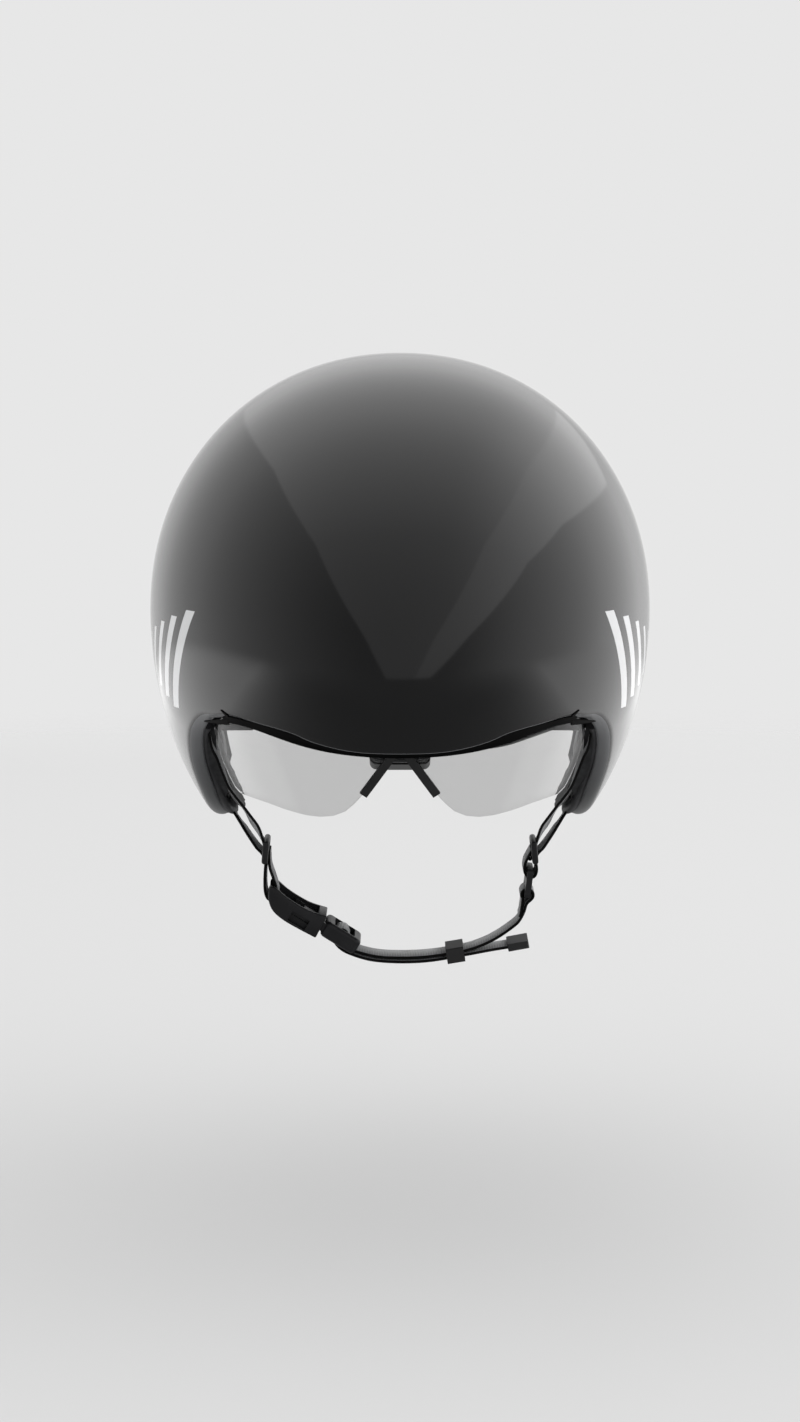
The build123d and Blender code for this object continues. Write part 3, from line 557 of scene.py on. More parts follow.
def curve_through(points, steps):
    """Smooth run of points through the given ones."""
    ends = [points[0] * 2 - points[1]] + list(points) + [points[-1] * 2 - points[-2]]
    run = []
    for i in range(1, len(ends) - 2):
        a, b, c, d = ends[i - 1:i + 3]
        for k in range(steps):
            t = k / steps
            run.append(
                0.5 * (2 * b + (c - a) * t + (2 * a - 5 * b + 4 * c - d) * t * t + (3 * b - a - 3 * c + d) * t ** 3)
            )
    run.append(points[-1].copy())
    return run


def ribbon(name, points, leans, s, body, node, steps=10):
    """Flat webbing along smooth points; a lean is the direction of its width at a point."""
    path = curve_through(points, steps)
    spread = curve_through(leans, steps)
    half, flat = s.width / 2, s.thick / 2
    inner = half - flat * 0.8
    outline = [(-half, -flat * 0.45), (-inner, -flat), (0.0, -flat), (inner, -flat), (half, -flat * 0.45),
               (half, flat * 0.45), (inner, flat), (0.0, flat), (-inner, flat), (-half, flat * 0.45)]
    selvedge = (0, 3, 4, 5, 8, 9)
    mesh = bpy.data.meshes.new(name)
    verts, faces, marks, coords = [], [], [], []
    travelled = 0.0
    lengths = []
    for i, point in enumerate(path):
        if i:
            travelled += (point - path[i - 1]).length
        lengths.append(travelled)
        along = (path[min(i + 1, len(path) - 1)] - path[max(i - 1, 0)]).normalized()
        side = (spread[i] - along * spread[i].dot(along)).normalized()
        up = along.cross(side)
        verts += [point + side * a + up * b for a, b in outline]
    count = len(outline)
    for i in range(len(path) - 1):
        for j in range(count):
            k = (j + 1) % count
            faces.append((i * count + j, i * count + k, (i + 1) * count + k, (i + 1) * count + j))
            marks.append(1 if j in selvedge else 0)
            a, b = outline[j][0], outline[k][0]
            coords += [(a, lengths[i]), (b, lengths[i]), (b, lengths[i + 1]), (a, lengths[i + 1])]
    last = (len(path) - 1) * count
    ends = (tuple(range(count)), lengths[0]), (tuple(last + j for j in reversed(range(count))), lengths[-1])
    for cap, base in ends:
        faces.append(cap)
        marks.append(1)
        coords += [(outline[v % count][0], base) for v in cap]
    mesh.from_pydata([tuple(v) for v in verts], [], faces)
    mesh.update()
    layer = mesh.uv_layers.new(name="webbing")
    for entry, value in zip(layer.data, coords):
        entry.uv = value
    mesh.polygons.foreach_set("material_index", marks)
    piece = bpy.data.objects.new(name, mesh)
    bpy.context.scene.collection.objects.link(piece)
    edit(piece)
    bpy.ops.mesh.select_all(action="SELECT")
    bpy.ops.mesh.normals_make_consistent(inside=False)
    bpy.ops.object.mode_set(mode="OBJECT")
    soften(piece, 50)
    finish(piece, name, body, "webbing", ["face", "edge"], node)
    return piece


def height_between(points, x):
    """Height at x on the straight lines between points."""
    for (xa, za), (xb, zb) in zip(points, points[1:]):
        if xa <= x <= xb:
            return za + (zb - za) * (x - xa) / (xb - xa)
    return points[-1][1]


def mirrored(vectors, side):
    """Vectors of the right side, or their mirror images where the side is -1."""
    return [Vector((v[0] * side, v[1], v[2])) for v in vectors]


def in_chin_plane(points, back):
    """Points in the front view, given in millimetres, at the chin strap's place along the helmet."""
    return [Vector((x / 1000, back, z / 1000)) for x, z in points]


def chin_ribbon(name, run, s, body, node):
    """Webbing in the chin strap's plane along a run in the front view, its width along the helmet."""
    path = in_chin_plane(run, s.chin_back)
    return ribbon(name, path, [Vector((0, 1, 0))] * len(path), s, body, node)


def arc_points(middle, radius, first, last, count):
    """Points on an arc in the front view, angles in degrees from +X."""
    run = []
    for i in range(count + 1):
        angle = radians(first + (last - first) * i / count)
        run.append((middle[0] + radius * cos(angle), middle[1] + radius * sin(angle)))
    return run


def rounded(width, height, radius, steps):
    """Outline of a rectangle with rounded corners, round its middle."""
    points = []
    for x, z, first in ((1, 1, 0), (-1, 1, 90), (-1, -1, 180), (1, -1, 270)):
        centre = (x * (width / 2 - radius), z * (height / 2 - radius))
        points += arc_points(centre, radius, first, first + 90, steps)
    return points


def turned(points, lean, middle):
    """Outline turned in the front view and moved to its place."""
    return [(middle[0] + x * cos(lean) - z * sin(lean), middle[1] + x * sin(lean) + z * cos(lean)) for x, z in points]


# Settings

def length_setting(name, description, metres):
    """Setting for a length."""
    return FloatProperty(name=name, description=description, default=metres, unit="LENGTH")


class HelmetShellSettings(PropertyGroup):
    half_width: length_setting("Half width", "Half the width of the shell", 0.105)
    face_reach: length_setting("Face reach", "From the origin to the brow", 0.112)
    crown_height: length_setting("Crown height", "From the widest level to the crown", 0.108)
    lower_depth: length_setting("Lower depth", "Depth of the full form below the widest level", 0.130)
    tail_reach: length_setting("Tail reach", "Where the form would close at the back", 0.215)
    tail_cut: length_setting("Tail end", "Where the tail is cut flat", 0.205)
    tail_round: length_setting("Tail edge", "Radius of the edge of the flat end", 0.006)
    tail_drop: length_setting("Tail drop", "How far the tail bends down", 0.015)
    crown_power: FloatProperty(name="Crown fullness", description="2 is an ellipse, more is squarer", default=2.08)
    wall: length_setting("Wall", "Thickness of the shell", 0.0018)
    lip_width: length_setting("Lip", "How far the lip reaches inwards round the ear covers", 0.0052)
    lip_roll: length_setting("Lip roll", "Radius of the rolled edge", 0.0048)
    segments: IntProperty(name="Segments", description="Faces round the shell", default=224)
    rows: IntProperty(name="Rows", description="Rows of faces from the crown to the rim", default=64)


class HelmetStrapSettings(PropertyGroup):
    width: length_setting("Width", "Width of the webbing", 0.014)
    thick: length_setting("Thickness", "Thickness of the webbing", 0.0012)
    chin_back: length_setting("Chin plane", "Place of the chin strap along the helmet", -0.012)


class HelmetColourSettings(PropertyGroup):
    marking_hex: StringProperty(name="Markings", description="Colour of the painted bars", default="#d9dadb")
    # The two webbing colours are a painted sheen: the webbing is black, and its face shows grey only in the light
    webbing_hex: StringProperty(name="Webbing", description="Colour of the webbing's ribs", default="#97989a")
    webbing_hex_dark: StringProperty(name="Webbing, dark", description="Colour between the ribs", default="#6e6f71")
    floor_hex: StringProperty(name="Floor", description="Colour of the floor", default="#cccccc")
    background_hex: StringProperty(name="Background", description="Colour behind the helmet", default="#e7e7e7")


class HelmetStageSettings(PropertyGroup):
    floor_height: length_setting("Floor", "Height of the floor", -0.262)
    lens_length: FloatProperty(name="Lens", description="Focal length in millimetres", default=80.0)
    camera_place: FloatVectorProperty(
        name="Camera", description="Place of the camera", default=(0.0, -1.32696, 0.1435), subtype="TRANSLATION")
    camera_tilt: FloatProperty(
        name="Tilt", description="Tilt of the camera from straight down", default=radians(82), subtype="ANGLE")


# Operators

def add_floor(settings, colours):
    """Oval floor that fades into the background at its rim, and glows as painted light in reflections."""
    floor = start(bpy.ops.mesh.primitive_grid_add, x_subdivisions=24, y_subdivisions=24, size=1)
    floor.scale = (5.0, 5.0, 1)
    floor.location = (0, 0, settings.floor_height)
    place_in_mesh(floor)
    floor.name = "floor"
    material = bpy.data.materials.new("painted_floor")
    material.use_nodes = True
    tree = material.node_tree
    tree.nodes.clear()
    half_length, half_depth, middle = 1.7, 1.25, 0.35
    # Painted reflection: for reflections the floor glows, dark before the helmet and bright beside it
    dark, bright, growth = 0.24, 1.75, 2.0
    place = add_node(tree, "TexCoord").outputs["Object"]
    split = add_node(tree, "SeparateXYZ", {"Vector": place})
    path = add_node(tree, "LightPath").outputs
    values = {"X": split.outputs["X"], "Y": split.outputs["Y"]}
    values.update(glossy=path["Is Glossy Ray"], through=path["Is Transmission Ray"])
    for name, operation, a, b in (
        ("right", "DIVIDE", "X", half_length), ("across", "ABSOLUTE", "right", 0.0),
        ("across_square", "POWER", "across", 2.0), ("behind", "SUBTRACT", "Y", middle),
        ("back", "DIVIDE", "behind", half_depth), ("depth", "ABSOLUTE", "back", 0.0),
        ("depth_square", "POWER", "depth", 2.0), ("radius", "ADD", "across_square", "depth_square"),
        ("ahead", "ADD", "Y", 0.35), ("ahead_cut", "MINIMUM", "ahead", 0.45),
        ("along", "MULTIPLY", "ahead_cut", 0.9), ("beside", "ABSOLUTE", "X", 0.0),
        ("far", "ADD", "beside", "along"), ("side", "MAXIMUM", "far", 0.0),
        ("side_cube", "POWER", "side", 3.0), ("grown", "MULTIPLY", "side_cube", growth),
        ("lifted", "ADD", "grown", dark), ("gleam", "MINIMUM", "lifted", bright),
        ("reflected", "GREATER_THAN", "glossy", "through"),
    ):
        terms = {0: values.get(a, a), 1: values.get(b, b)}
        values[name] = add_node(tree, "Math", terms, operation=operation).outputs[0]
    matt = add_node(tree, "BsdfDiffuse", {"Color": linear(colours.floor_hex)})
    glow = add_node(tree, "Emission", {"Strength": values["gleam"]})
    faces = {"Fac": values["reflected"], 1: matt.outputs[0], 2: glow.outputs[0]}
    seen = add_node(tree, "MixShader", faces)
    ends = {"Value": values["radius"], "From Min": 0.45, "From Max": 1.0}
    fade = add_node(tree, "MapRange", ends, interpolation_type="SMOOTHSTEP")
    clear = add_node(tree, "BsdfTransparent")
    output = add_node(tree, "OutputMaterial")
    blend = {"Fac": fade.outputs["Result"], 1: seen.outputs[0], 2: clear.outputs[0]}
    add_node(tree, "MixShader", blend, {0: output.inputs["Surface"]})
    floor.data.materials.append(material)


def background(context, colours):
    """Plain background for the camera, and a room round the helmet for everything else."""
    world = bpy.data.worlds.new("studio")
    world.use_nodes = True
    context.scene.world = world
    tree = world.node_tree
    tree.nodes.clear()
    path = add_node(tree, "LightPath").outputs
    way = add_node(tree, "TexCoord").outputs["Generated"]
    split = add_node(tree, "SeparateXYZ", {"Vector": way})
    # Brighter wall behind the helmet, darker room on the camera's side
    values = {}
    for name, axis, low, high, from_low, to_high, kind in (
        ("depth", "Y", -1.0, 0.3, 0.19, 1.15, "LINEAR"), ("side", "X", 0.3, 0.9, 1.0, 1.6, "SMOOTHSTEP"),
        ("wall", "Y", 0.8, 1.0, 1.0, 0.68, "LINEAR"),
    ):
        ends = {"From Min": low, "From Max": high, "To Min": from_low, "To Max": to_high}
        level = add_node(tree, "MapRange", {"Value": split.outputs[axis], **ends}, interpolation_type=kind)
        values[name] = level.outputs["Result"]
    values.update(camera=path["Is Camera Ray"], through=path["Is Transmission Ray"])
    for name, operation, a, b in (
        ("tone", "MULTIPLY", "depth", "wall"), ("strength", "MULTIPLY", "tone", "side"),
        ("seen", "MAXIMUM", "camera", "through"),
    ):
        terms = {0: values[a], 1: values[b]}
        values[name] = add_node(tree, "Math", terms, operation=operation).outputs[0]
    white = (1.0, 1.0, 1.0, 1.0)
    room = add_node(tree, "Background", {"Color": white, "Strength": values["strength"]})
    back = add_node(tree, "Background", {"Color": linear(colours.background_hex), "Strength": 1.0})
    output = add_node(tree, "OutputWorld")
    parts = {"Fac": values["seen"], 1: room.outputs[0], 2: back.outputs[0]}
    add_node(tree, "MixShader", parts, {0: output.inputs["Surface"]})


def lamps():
    """Two long panels side by side, each bent down towards the camera and brightest over the helmet."""
    profile = ((-13.1, -4.44), (-1.6, 1.35), (0.2, 1.66), (5.0, 1.42))
    for name, low, high, levels in (
        ("panel_wide", -1.55, 1.55, (0.26, 0.32, 0.58, 0.1)),
        ("panel_bright", 1.55, 3.45, (0.40, 0.54, 0.78, 0.4)),
    ):
        for i in range(len(profile) - 1):
            panel(f"{name}_{i}", low, high, profile[i], profile[i + 1], levels[i], levels[i + 1])


def panel(name, low, high, first, last, first_level, last_level):
    """Area lamp between two places of the profile, with its brightness at both."""
    length = sqrt((last[0] - first[0]) ** 2 + (last[1] - first[1]) ** 2)
    data = bpy.data.lights.new(name, "AREA")
    data.shape = "RECTANGLE"
    data.size = high - low
    data.size_y = length
    # An area lamp of this energy has a brightness of 1
    data.energy = pi * (high - low) * length
    data.use_nodes = True
    tree = data.node_tree
    spot = add_node(tree, "NewGeometry").outputs["Position"]
    split = add_node(tree, "SeparateXYZ", {"Vector": spot})
    add_node(tree, "MapRange", {
        "Value": split.outputs["Y"], "From Min": first[0], "From Max": last[0],
        "To Min": first_level, "To Max": last_level,
    }, {"Result": tree.nodes["Emission"].inputs["Strength"]})
    lamp = bpy.data.objects.new(name, data)
    bpy.context.scene.collection.objects.link(lamp)
    lamp.location = ((low + high) / 2, (first[0] + last[0]) / 2, (first[1] + last[1]) / 2)
    lamp.rotation_euler = (atan2(last[1] - first[1], last[0] - first[0]), 0, 0)
    lamp.visible_camera = False


class HELMET_OT_stage(Operator):
    """Floor, background, lamps and camera"""
    bl_idname = "helmet.stage"
    bl_label = "Stage"

    def execute(self, context):
        settings, colours = context.scene.helmet_stage, context.scene.helmet_colours
        add_floor(settings, colours)
        background(context, colours)
        lamps()
        data = bpy.data.cameras.new("camera")
        data.lens = settings.lens_length
        data.sensor_fit = "VERTICAL"
        data.sensor_height = 36
        camera = bpy.data.objects.new("camera", data)
        context.scene.collection.objects.link(camera)
        camera.location = settings.camera_place
        camera.rotation_euler = (settings.camera_tilt, 0, 0)
        context.scene.camera = camera
        context.scene.view_settings.view_transform = "Standard"
        return {"FINISHED"}


def face_out(piece):
    """Turns the faces so that the crown faces up."""
    mesh = edit(piece)
    crown = max(mesh.faces, key=lambda f: f.calc_center_median().z)
    if crown.normal.z < 0:
        bpy.ops.mesh.select_all(action="SELECT")
        bpy.ops.mesh.flip_normals()
    leave(piece)


def roll_lip(piece, mesh, s):
    """Rows of faces that roll the rim inwards."""
    rim = [e for e in mesh.edges if e.is_boundary]
    spokes = {}
    for edge in rim:
        for vert in edge.verts:
            spokes.setdefault(vert, []).append(edge.other_vert(vert))
    frames = {}
    for vert, others in spokes.items():
        normal = normal_of(s, vert.co)
        along = (others[0].co - others[1].co).normalized()
        down = along.cross(normal).normalized()
        if down.z > 0:
            down = -down
        frames[vert] = (vert.co.copy(), normal, down, lip_share(s, vert.co.y))
    # Up to 1 the rows turn through a quarter circle, past it they run on inwards
    steps = [(i + 1) / 8 for i in range(8)] + [1.4, 2.0]
    # From the first of these steps on, the lip takes its painted highlight
    highlight_from, least_reach, lift = 0.3, 0.0006, 0.1
    current = frames
    for step in steps:
        bpy.ops.mesh.select_all(action="DESELECT")
        edges = [e for e in mesh.edges if e.is_boundary]
        for edge in edges:
            edge.select_set(True)
        bpy.ops.mesh.extrude_edges_move()
        mesh = bmesh.from_edit_mesh(piece.data)
        moved = {}
        old = {tuple(round(c, 7) for c in v.co): f for v, f in current.items()}
        for vert in [v for v in mesh.verts if v.select]:
            moved[vert] = old[tuple(round(c, 7) for c in vert.co)]
        # The lip's face, with its painted highlight, starts past this step
        if step > highlight_from:
            for face in {f for v in moved for f in v.link_faces}:
                face.material_index = 1
        for vert, (base, normal, down, share) in moved.items():
            roll = s.lip_roll * share
            if step <= 1:
                angle = step * pi / 2
                vert.co = base + down * roll * sin(angle) - normal * roll * (1 - cos(angle))
            else:
                reach = (step - 1) * max(s.lip_width * share - roll, least_reach)
                vert.co = base + down * roll * (1 - lift * (step - 1)) - normal * (roll + reach)
        current = moved


class HELMET_OT_shell(Operator):
    """Lacquered outer shell with its rolled lip"""
    bl_idname = "helmet.shell"
    bl_label = "Outer shell"

    def execute(self, context):
        s = context.scene.helmet_shell
        # Spokes lean towards the tail by the stretch, and rows lie closer at the rim by the crowding
        stretch, crowding = 2.6, 0.38
        piece = start(bpy.ops.mesh.primitive_uv_sphere_add, segments=s.segments, ring_count=2 * s.rows, radius=1)
        for _ in range(2):
            piece.data.materials.append(None)
        mesh = edit(piece)
        bpy.ops.mesh.select_all(action="DESELECT")
        for vert in mesh.verts:
            vert.select_set(vert.co.z < -1e-4)
        mesh.select_flush(True)
        bpy.ops.mesh.delete(type="VERT")
        mesh = bmesh.from_edit_mesh(piece.data)
        tilts = {}
        for vert in mesh.verts:
            angle = atan2(vert.co.y, vert.co.x)
            share = (pi / 2 - asin(min(vert.co.z, 1))) / (pi / 2)
            key = round(angle, 4)
            if key not in tilts:
                tilts[key] = rim_tilt(s, angle, stretch)
            packed = (1 - crowding) * share + crowding * (1 - (1 - share) ** 2)
            vert.co = on_form(s, bearing(angle, tilts[key] * packed, stretch))
        roll_lip(piece, mesh, s)
        leave(piece)
        outward(piece)
        face_out(piece)
        modify(piece, "SOLIDIFY", thickness=s.wall, offset=-1, use_even_offset=True, use_rim=True)
        soften(piece, 60)
        finish(piece, "shell", "helmet", "shell_gloss", ["shell", "lip"], "outer_shell")
        return {"FINISHED"}


def ear_trim(s, side):
    """Soft edging inside the lip of an ear cover, with a rounded ridge."""
    # Millimetres inwards from the form and up from the rim
    outline = [(2.3, 3.4), (3.6, 1.2), (4.7, 0.6), (5.3, -0.4), (6.0, -1.2), (6.9, -1.4), (7.8, -1.0),
               (8.5, 0.0), (8.9, 1.6), (9.0, 3.4), (8.4, 5.4), (6.4, 6.0), (3.4, 5.2)]
    front, length, count, near = -0.0560, 0.1160, 64, 0.0005
    rings = []
    for i in range(count + 1):
        y = front + length * i / count
        before, base, after = [rim_place(s, y + shift, side) for shift in (-near, 0.0, near)]
        out = normal_of(s, base)
        down = (after - before).normalized().cross(out).normalized()
        if down.z > 0:
            down = -down
        rings.append([base - out * (u / 1000) - down * (w / 1000) for u, w in outline])
    return tube(rings)


def rim_place(s, y, side):
    """Point of the form on the rim at a place along the helmet."""
    half, high, low, level = section(s, y)
    z = rim_height(y)
    return Vector((side * half * sqrt(max(1 - ((z - level) / low) ** 2, 0)), y, z))


class HELMET_OT_liner(Operator):
    """Foam liner with its strap anchors, visor dock and the edging of the ear covers"""
    bl_idname = "helmet.liner"
    bl_label = "Foam liner"

    def execute(self, context):
        for node, material in (
            ("foam_liner", "foam"), ("strap_anchors", "nylon"), ("visor_dock", "nylon"), ("dock_magnets", "steel"),
        ):
            dress(node, material)
        for side, word in ((-1, "left"), (1, "right")):
            piece = ear_trim(context.scene.helmet_shell, side)
            finish(piece, "ear_trim_" + word, "helmet", "pad_foam", ["trim"])
        return {"FINISHED"}


def lens(s):
    """Two-lobed lens, 2 mm thick, on a layer 8 mm under the form of the shell."""
    # Outline of one lobe in the front view, in millimetres
    low = [(0.0, -48.5), (5.4, -48.5), (7.2, -51.5), (15.4, -65.2), (18.5, -68.9), (22.0, -72.3), (26.5, -74.6),
           (32.0, -75.6), (38.0, -75.4), (46.0, -74.0), (54.0, -72.0), (61.0, -70.9), (65.5, -70.2), (67.6, -68.2),
           (69.6, -64.0), (72.2, -57.5), (74.2, -50.0), (75.4, -43.5), (76.0, -38.0)]
    top = [(0.0, -42.0), (39.0, -36.0), (66.0, -32.0), (76.0, -31.2)]
    reach, outer, inner = 76.0, 0.0080, 0.0100
    settings = {"x_subdivisions": 200, "y_subdivisions": 40, "size": 2, "calc_uvs": False}
    piece = start(bpy.ops.mesh.primitive_grid_add, **settings)
    for _ in range(2):
        piece.data.materials.append(None)
    mesh = edit(piece)
    for vert in mesh.verts:
        x = reach * vert.co.x
        foot, head = height_between(low, abs(x)), height_between(top, abs(x))
        z = head + (foot - head) * (1 - vert.co.y) / 2
        vert.co = (x / 1000, on_layer(s, x / 1000, z / 1000, outer), z / 1000)
    bpy.ops.mesh.select_all(action="SELECT")
    bpy.ops.mesh.extrude_region_move()
    mesh = bmesh.from_edit_mesh(piece.data)
    for vert in [v for v in mesh.verts if v.select]:
        vert.co.y = on_layer(s, vert.co.x, vert.co.z, inner)
    # The rim joins picked points with points that aren't
    for face in mesh.faces:
        if len({v.select for v in face.verts}) == 2:
            face.material_index = 1
    leave(piece)
    outward(piece)
    soften(piece, 40)
    return piece


def on_layer(s, x, z, inset=0.0):
    """Place along the helmet of the brow, or of a layer under it, at x and z."""
    across, up = x / (s.half_width - inset), z / (s.lower_depth - inset)
    return -(s.face_reach - inset) * sqrt(max(1 - across ** 2 - up ** 2, 0))


def brow_edge(s):
    """Edge of the rail that closes the gap under the shell, forked into two points at each end; its near black is
    painted shade, where the gap lies in shadow.
    """
    reach, lap, count = 0.0685, 0.0001, 60
    rings = []
    for i in range(count + 1):
        x = reach * (2 * i / count - 1)
        top, low = height_on(s, x, RIM) - lap, height_on(s, x, RAIL_EDGE)
        rings.append(edge_ring(s, x, top, low))
    tubes = [tube(rings)]
    # Each point's length, and its top and foot at its root and how far each moves up to its tip
    points = ((0.0031, -0.0335, 0.0019, -0.0352, 0.0034), (0.0102, -0.0350, -0.0024, -0.0376, -0.0003))
    root, steps = 0.0684, 8
    for side in (-1, 1):
        for length, top, top_shift, low, low_shift in points:
            tubes.append(tube([
                edge_ring(s, side * (root + length * t), top + top_shift * t, low + low_shift * t)
                for t in [i / steps for i in range(steps + 1)]
            ]))
    deselect()
    for piece in tubes:
        piece.select_set(True)
    bpy.context.view_layer.objects.active = tubes[0]
    bpy.ops.object.join()
    return tubes[0]


def height_on(s, x, edge):
    """Height at which an edge of the brow passes x."""
    z = -0.04
    for _ in range(12):
        z = (z + rim_height(on_layer(s, x, z), edge)) / 2
    return z


def edge_ring(s, x, top, low):
    """Section of the rail's edge between two heights, proud of the shell and thinner towards the ends."""
    flare = smooth_step(abs(x), 0.056, 0.067)
    proud, thick, recess = -0.0003 + 0.0008 * flare, 0.0022 - 0.0013 * flare, 0.0002
    high = Vector((x, on_layer(s, x, top), top))
    foot = Vector((x, on_layer(s, x, low), low))
    out = normal_of(s, high)
    inner = proud - thick
    return [high + out * proud, foot + out * (proud - recess), foot + out * inner, high + out * inner]


class HELMET_OT_visor(Operator):
    """Clear lens, its top rail, steel plates and nose piece"""
    bl_idname = "helmet.visor"
    bl_label = "Visor"

    def execute(self, context):
        s = context.scene.helmet_shell
        for node, material in (("visor_frame", "rail"), ("nose_piece", "rubber"), ("visor_keeper_plates", "steel")):
            dress(node, material)
        finish(brow_edge(s), "visor_brow_edge", "visor", "hardware_plastic", ["rail"])
        finish(lens(s), "clear_lens", "visor", "visor_clear", ["clear", "cut_edge"], "visor_lens")
        return {"FINISHED"}


def press_back(piece):
    """Presses the lower half of an ear pad towards its foam, where the straps run past it."""
    by, from_depth, full_depth = 0.0024, 0.045, 0.070
    for vert in [v for v in piece.data.vertices if v.normal.x * v.co.x < 0]:
        vert.co.x *= 1 + by * smooth_step(-vert.co.z, from_depth, full_depth) / abs(vert.co.x)


class HELMET_OT_pads(Operator):
    """Fabric-covered foam pads"""
    bl_idname = "helmet.pads"
    bl_label = "Pads"

    def execute(self, context):
        voxel = 0.0012
        for node in (
            "ear_pad_left", "ear_pad_right", "front_pad", "crown_pad", "side_pad_left", "side_pad_right", "cradle_pad",
        ):
            piece = frame["nodes"][node].copy()
            piece.data = frame["nodes"][node].data.copy()
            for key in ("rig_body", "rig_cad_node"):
                if key in piece:
                    del piece[key]
            piece.parent = None
            piece.matrix_world = Matrix.Identity(4)
            context.scene.collection.objects.link(piece)
            outward(piece)
            modify(piece, "REMESH", mode="VOXEL", voxel_size=voxel)
            if node.startswith("ear_pad"):
                press_back(piece)
            modify(piece, "SMOOTH", factor=0.5, iterations=12)
            alone(piece)
            bpy.ops.object.shade_smooth()
            body = "cradle" if node == "cradle_pad" else "helmet"
            finish(piece, node + "_knit", body, "pad_foam", ["knit"], node)
        return {"FINISHED"}


class HELMET_OT_cradle(Operator):
    """Nape cradle with its dial and bands"""
    bl_idname = "helmet.cradle"
    bl_label = "Nape cradle"

    def execute(self, context):
        for node in (
            "height_rail", "cradle_base", "cradle_cover", "fit_dial", "dial_pinion", "band_left", "band_right",
        ):
            dress(node, "nylon")
        dress("dial_grip", "rubber")
        for node in ("rail_pins", "dial_screw"):
            dress(node, "steel")
        return {"FINISHED"}


class HELMET_OT_straps(Operator):
    """Front, rear and jaw straps on both sides"""
    bl_idname = "helmet.straps"
    bl_label = "Straps"

    def execute(self, context):
        s = context.scene.helmet_straps
        # Places along the right straps and, for each, the way that the webbing's width points
        front = [
            (0.0788, -0.0450, -0.0370), (0.0778, -0.0431, -0.0477), (0.0758, -0.0402, -0.0533),
            (0.0737, -0.0368, -0.0600), (0.0722, -0.0334, -0.0661), (0.0708, -0.0303, -0.0712),
            (0.0686, -0.0267, -0.0754), (0.0659, -0.0221, -0.0802), (0.0624, -0.0169, -0.0862),
            (0.0603, -0.0138, -0.0918), (0.0583, -0.0126, -0.0955), (0.0569, -0.0122, -0.0990),
        ]
        front_lean = [
            (0.02, 0.94, 0.33), (0.08, 0.91, 0.41), (0.09, 0.90, 0.43), (0.10, 0.89, 0.45),
            (0.20, 0.87, 0.46), (0.41, 0.81, 0.42), (0.48, 0.76, 0.43), (0.48, 0.77, 0.42),
            (0.45, 0.81, 0.39), (0.34, 0.88, 0.24), (0.14, 0.97, 0.10), (0.00, 1.00, 0.00),
        ]
        rear = [
            (0.0772, 0.0440, -0.0400), (0.0805, 0.0400, -0.0500), (0.0780, 0.0360, -0.0620),
            (0.0755, 0.0240, -0.0745), (0.0730, 0.0080, -0.0812), (0.0717, 0.0022, -0.0844),
            (0.0697, -0.0003, -0.0874), (0.0678, -0.0024, -0.0896), (0.0648, -0.0048, -0.0937),
            (0.0612, -0.0079, -0.0981), (0.0578, -0.0103, -0.1010), (0.0563, -0.0118, -0.1040),
        ]
        rear_lean = [
            (0.00, 0.98, 0.10), (0.00, 0.98, -0.10), (-0.05, 0.95, -0.30),
            (-0.12, 0.88, -0.45), (-0.24, 0.83, -0.50), (-0.23, 0.81, -0.54),
            (-0.25, 0.81, -0.53), (-0.23, 0.87, -0.44), (-0.23, 0.89, -0.39),
            (-0.30, 0.87, -0.39), (-0.30, 0.93, -0.18), (-0.05, 1.00, 0.00),
        ]
        for side, word in ((-1, "left"), (1, "right")):
            for kind, run, leans in (("front", front, front_lean), ("rear", rear, rear_lean)):
                points, spread = mirrored(run, side), mirrored(leans, side)
                ribbon(f"{kind}_webbing_{word}", points, spread, s, "helmet", f"{kind}_strap_{word}")
        # Loops through the divider, and round the buckle's bar or the link
        for word, loop in (
            ("left", [
                (-55.8, -100.0), (-56.4, -104.0), (-56.9, -110.0), (-56.9, -116.5), (-55.9, -120.0), (-54.0, -120.9),
                (-52.2, -119.6), (-51.8, -117.0), (-53.2, -112.0), (-54.9, -106.5), (-55.2, -100.0),
            ]),
            ("right", [
                (55.5, -99.8), (54.0, -102.5), (52.7, -105.5), (52.6, -109.0), (54.3, -111.0), (56.6, -110.8),
                (57.6, -108.0), (57.0, -104.0), (56.0, -99.8),
            ]),
        ):
            chin_ribbon(f"jaw_webbing_{word}", loop, s, "helmet", f"jaw_strap_{word}")
        return {"FINISHED"}


class HELMET_OT_chin_strap(Operator):
    """Chin strap with its folded tail, keeper and tip"""
    bl_idname = "helmet.chin_strap"
    bl_label = "Chin strap"

    def execute(self, context):
        s = context.scene.helmet_straps
        link, bar = (53.7, -118.8), (-24.7, -136.2)
        run = [(50.6, -128.2), (51.2, -125.6)] + arc_points(link, 2.5, 220, -50, 8) + [
            (53.4, -122.6), (52.3, -126.0), (50.6, -129.4), (48.3, -131.9), (41.8, -136.6), (35.4, -140.0),
            (27.0, -142.8), (12.7, -145.2), (0.0, -145.8), (-10.0, -145.2), (-18.9, -142.9), (-23.4, -140.3)]
        piece = chin_ribbon("chin_webbing", run, s, None, "chin_strap")
        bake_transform(piece)
        tail = [(-23.4, -139.6), (-21.9, -137.2)] + arc_points(bar, 2.6, 10, 200, 7) + [
            (-27.6, -138.6), (-25.5, -141.4), (-21.3, -143.9), (-12.0, -146.7), (0.0, -147.6), (12.7, -147.0),
            (27.0, -144.6), (38.0, -142.5), (47.5, -140.9), (49.5, -140.5)]
        chin_ribbon("tail_webbing", tail, s, "tongue", "chin_strap")
        dress("strap_keeper", "rubber")
        dress("strap_tip", "rubber")
        return {"FINISHED"}


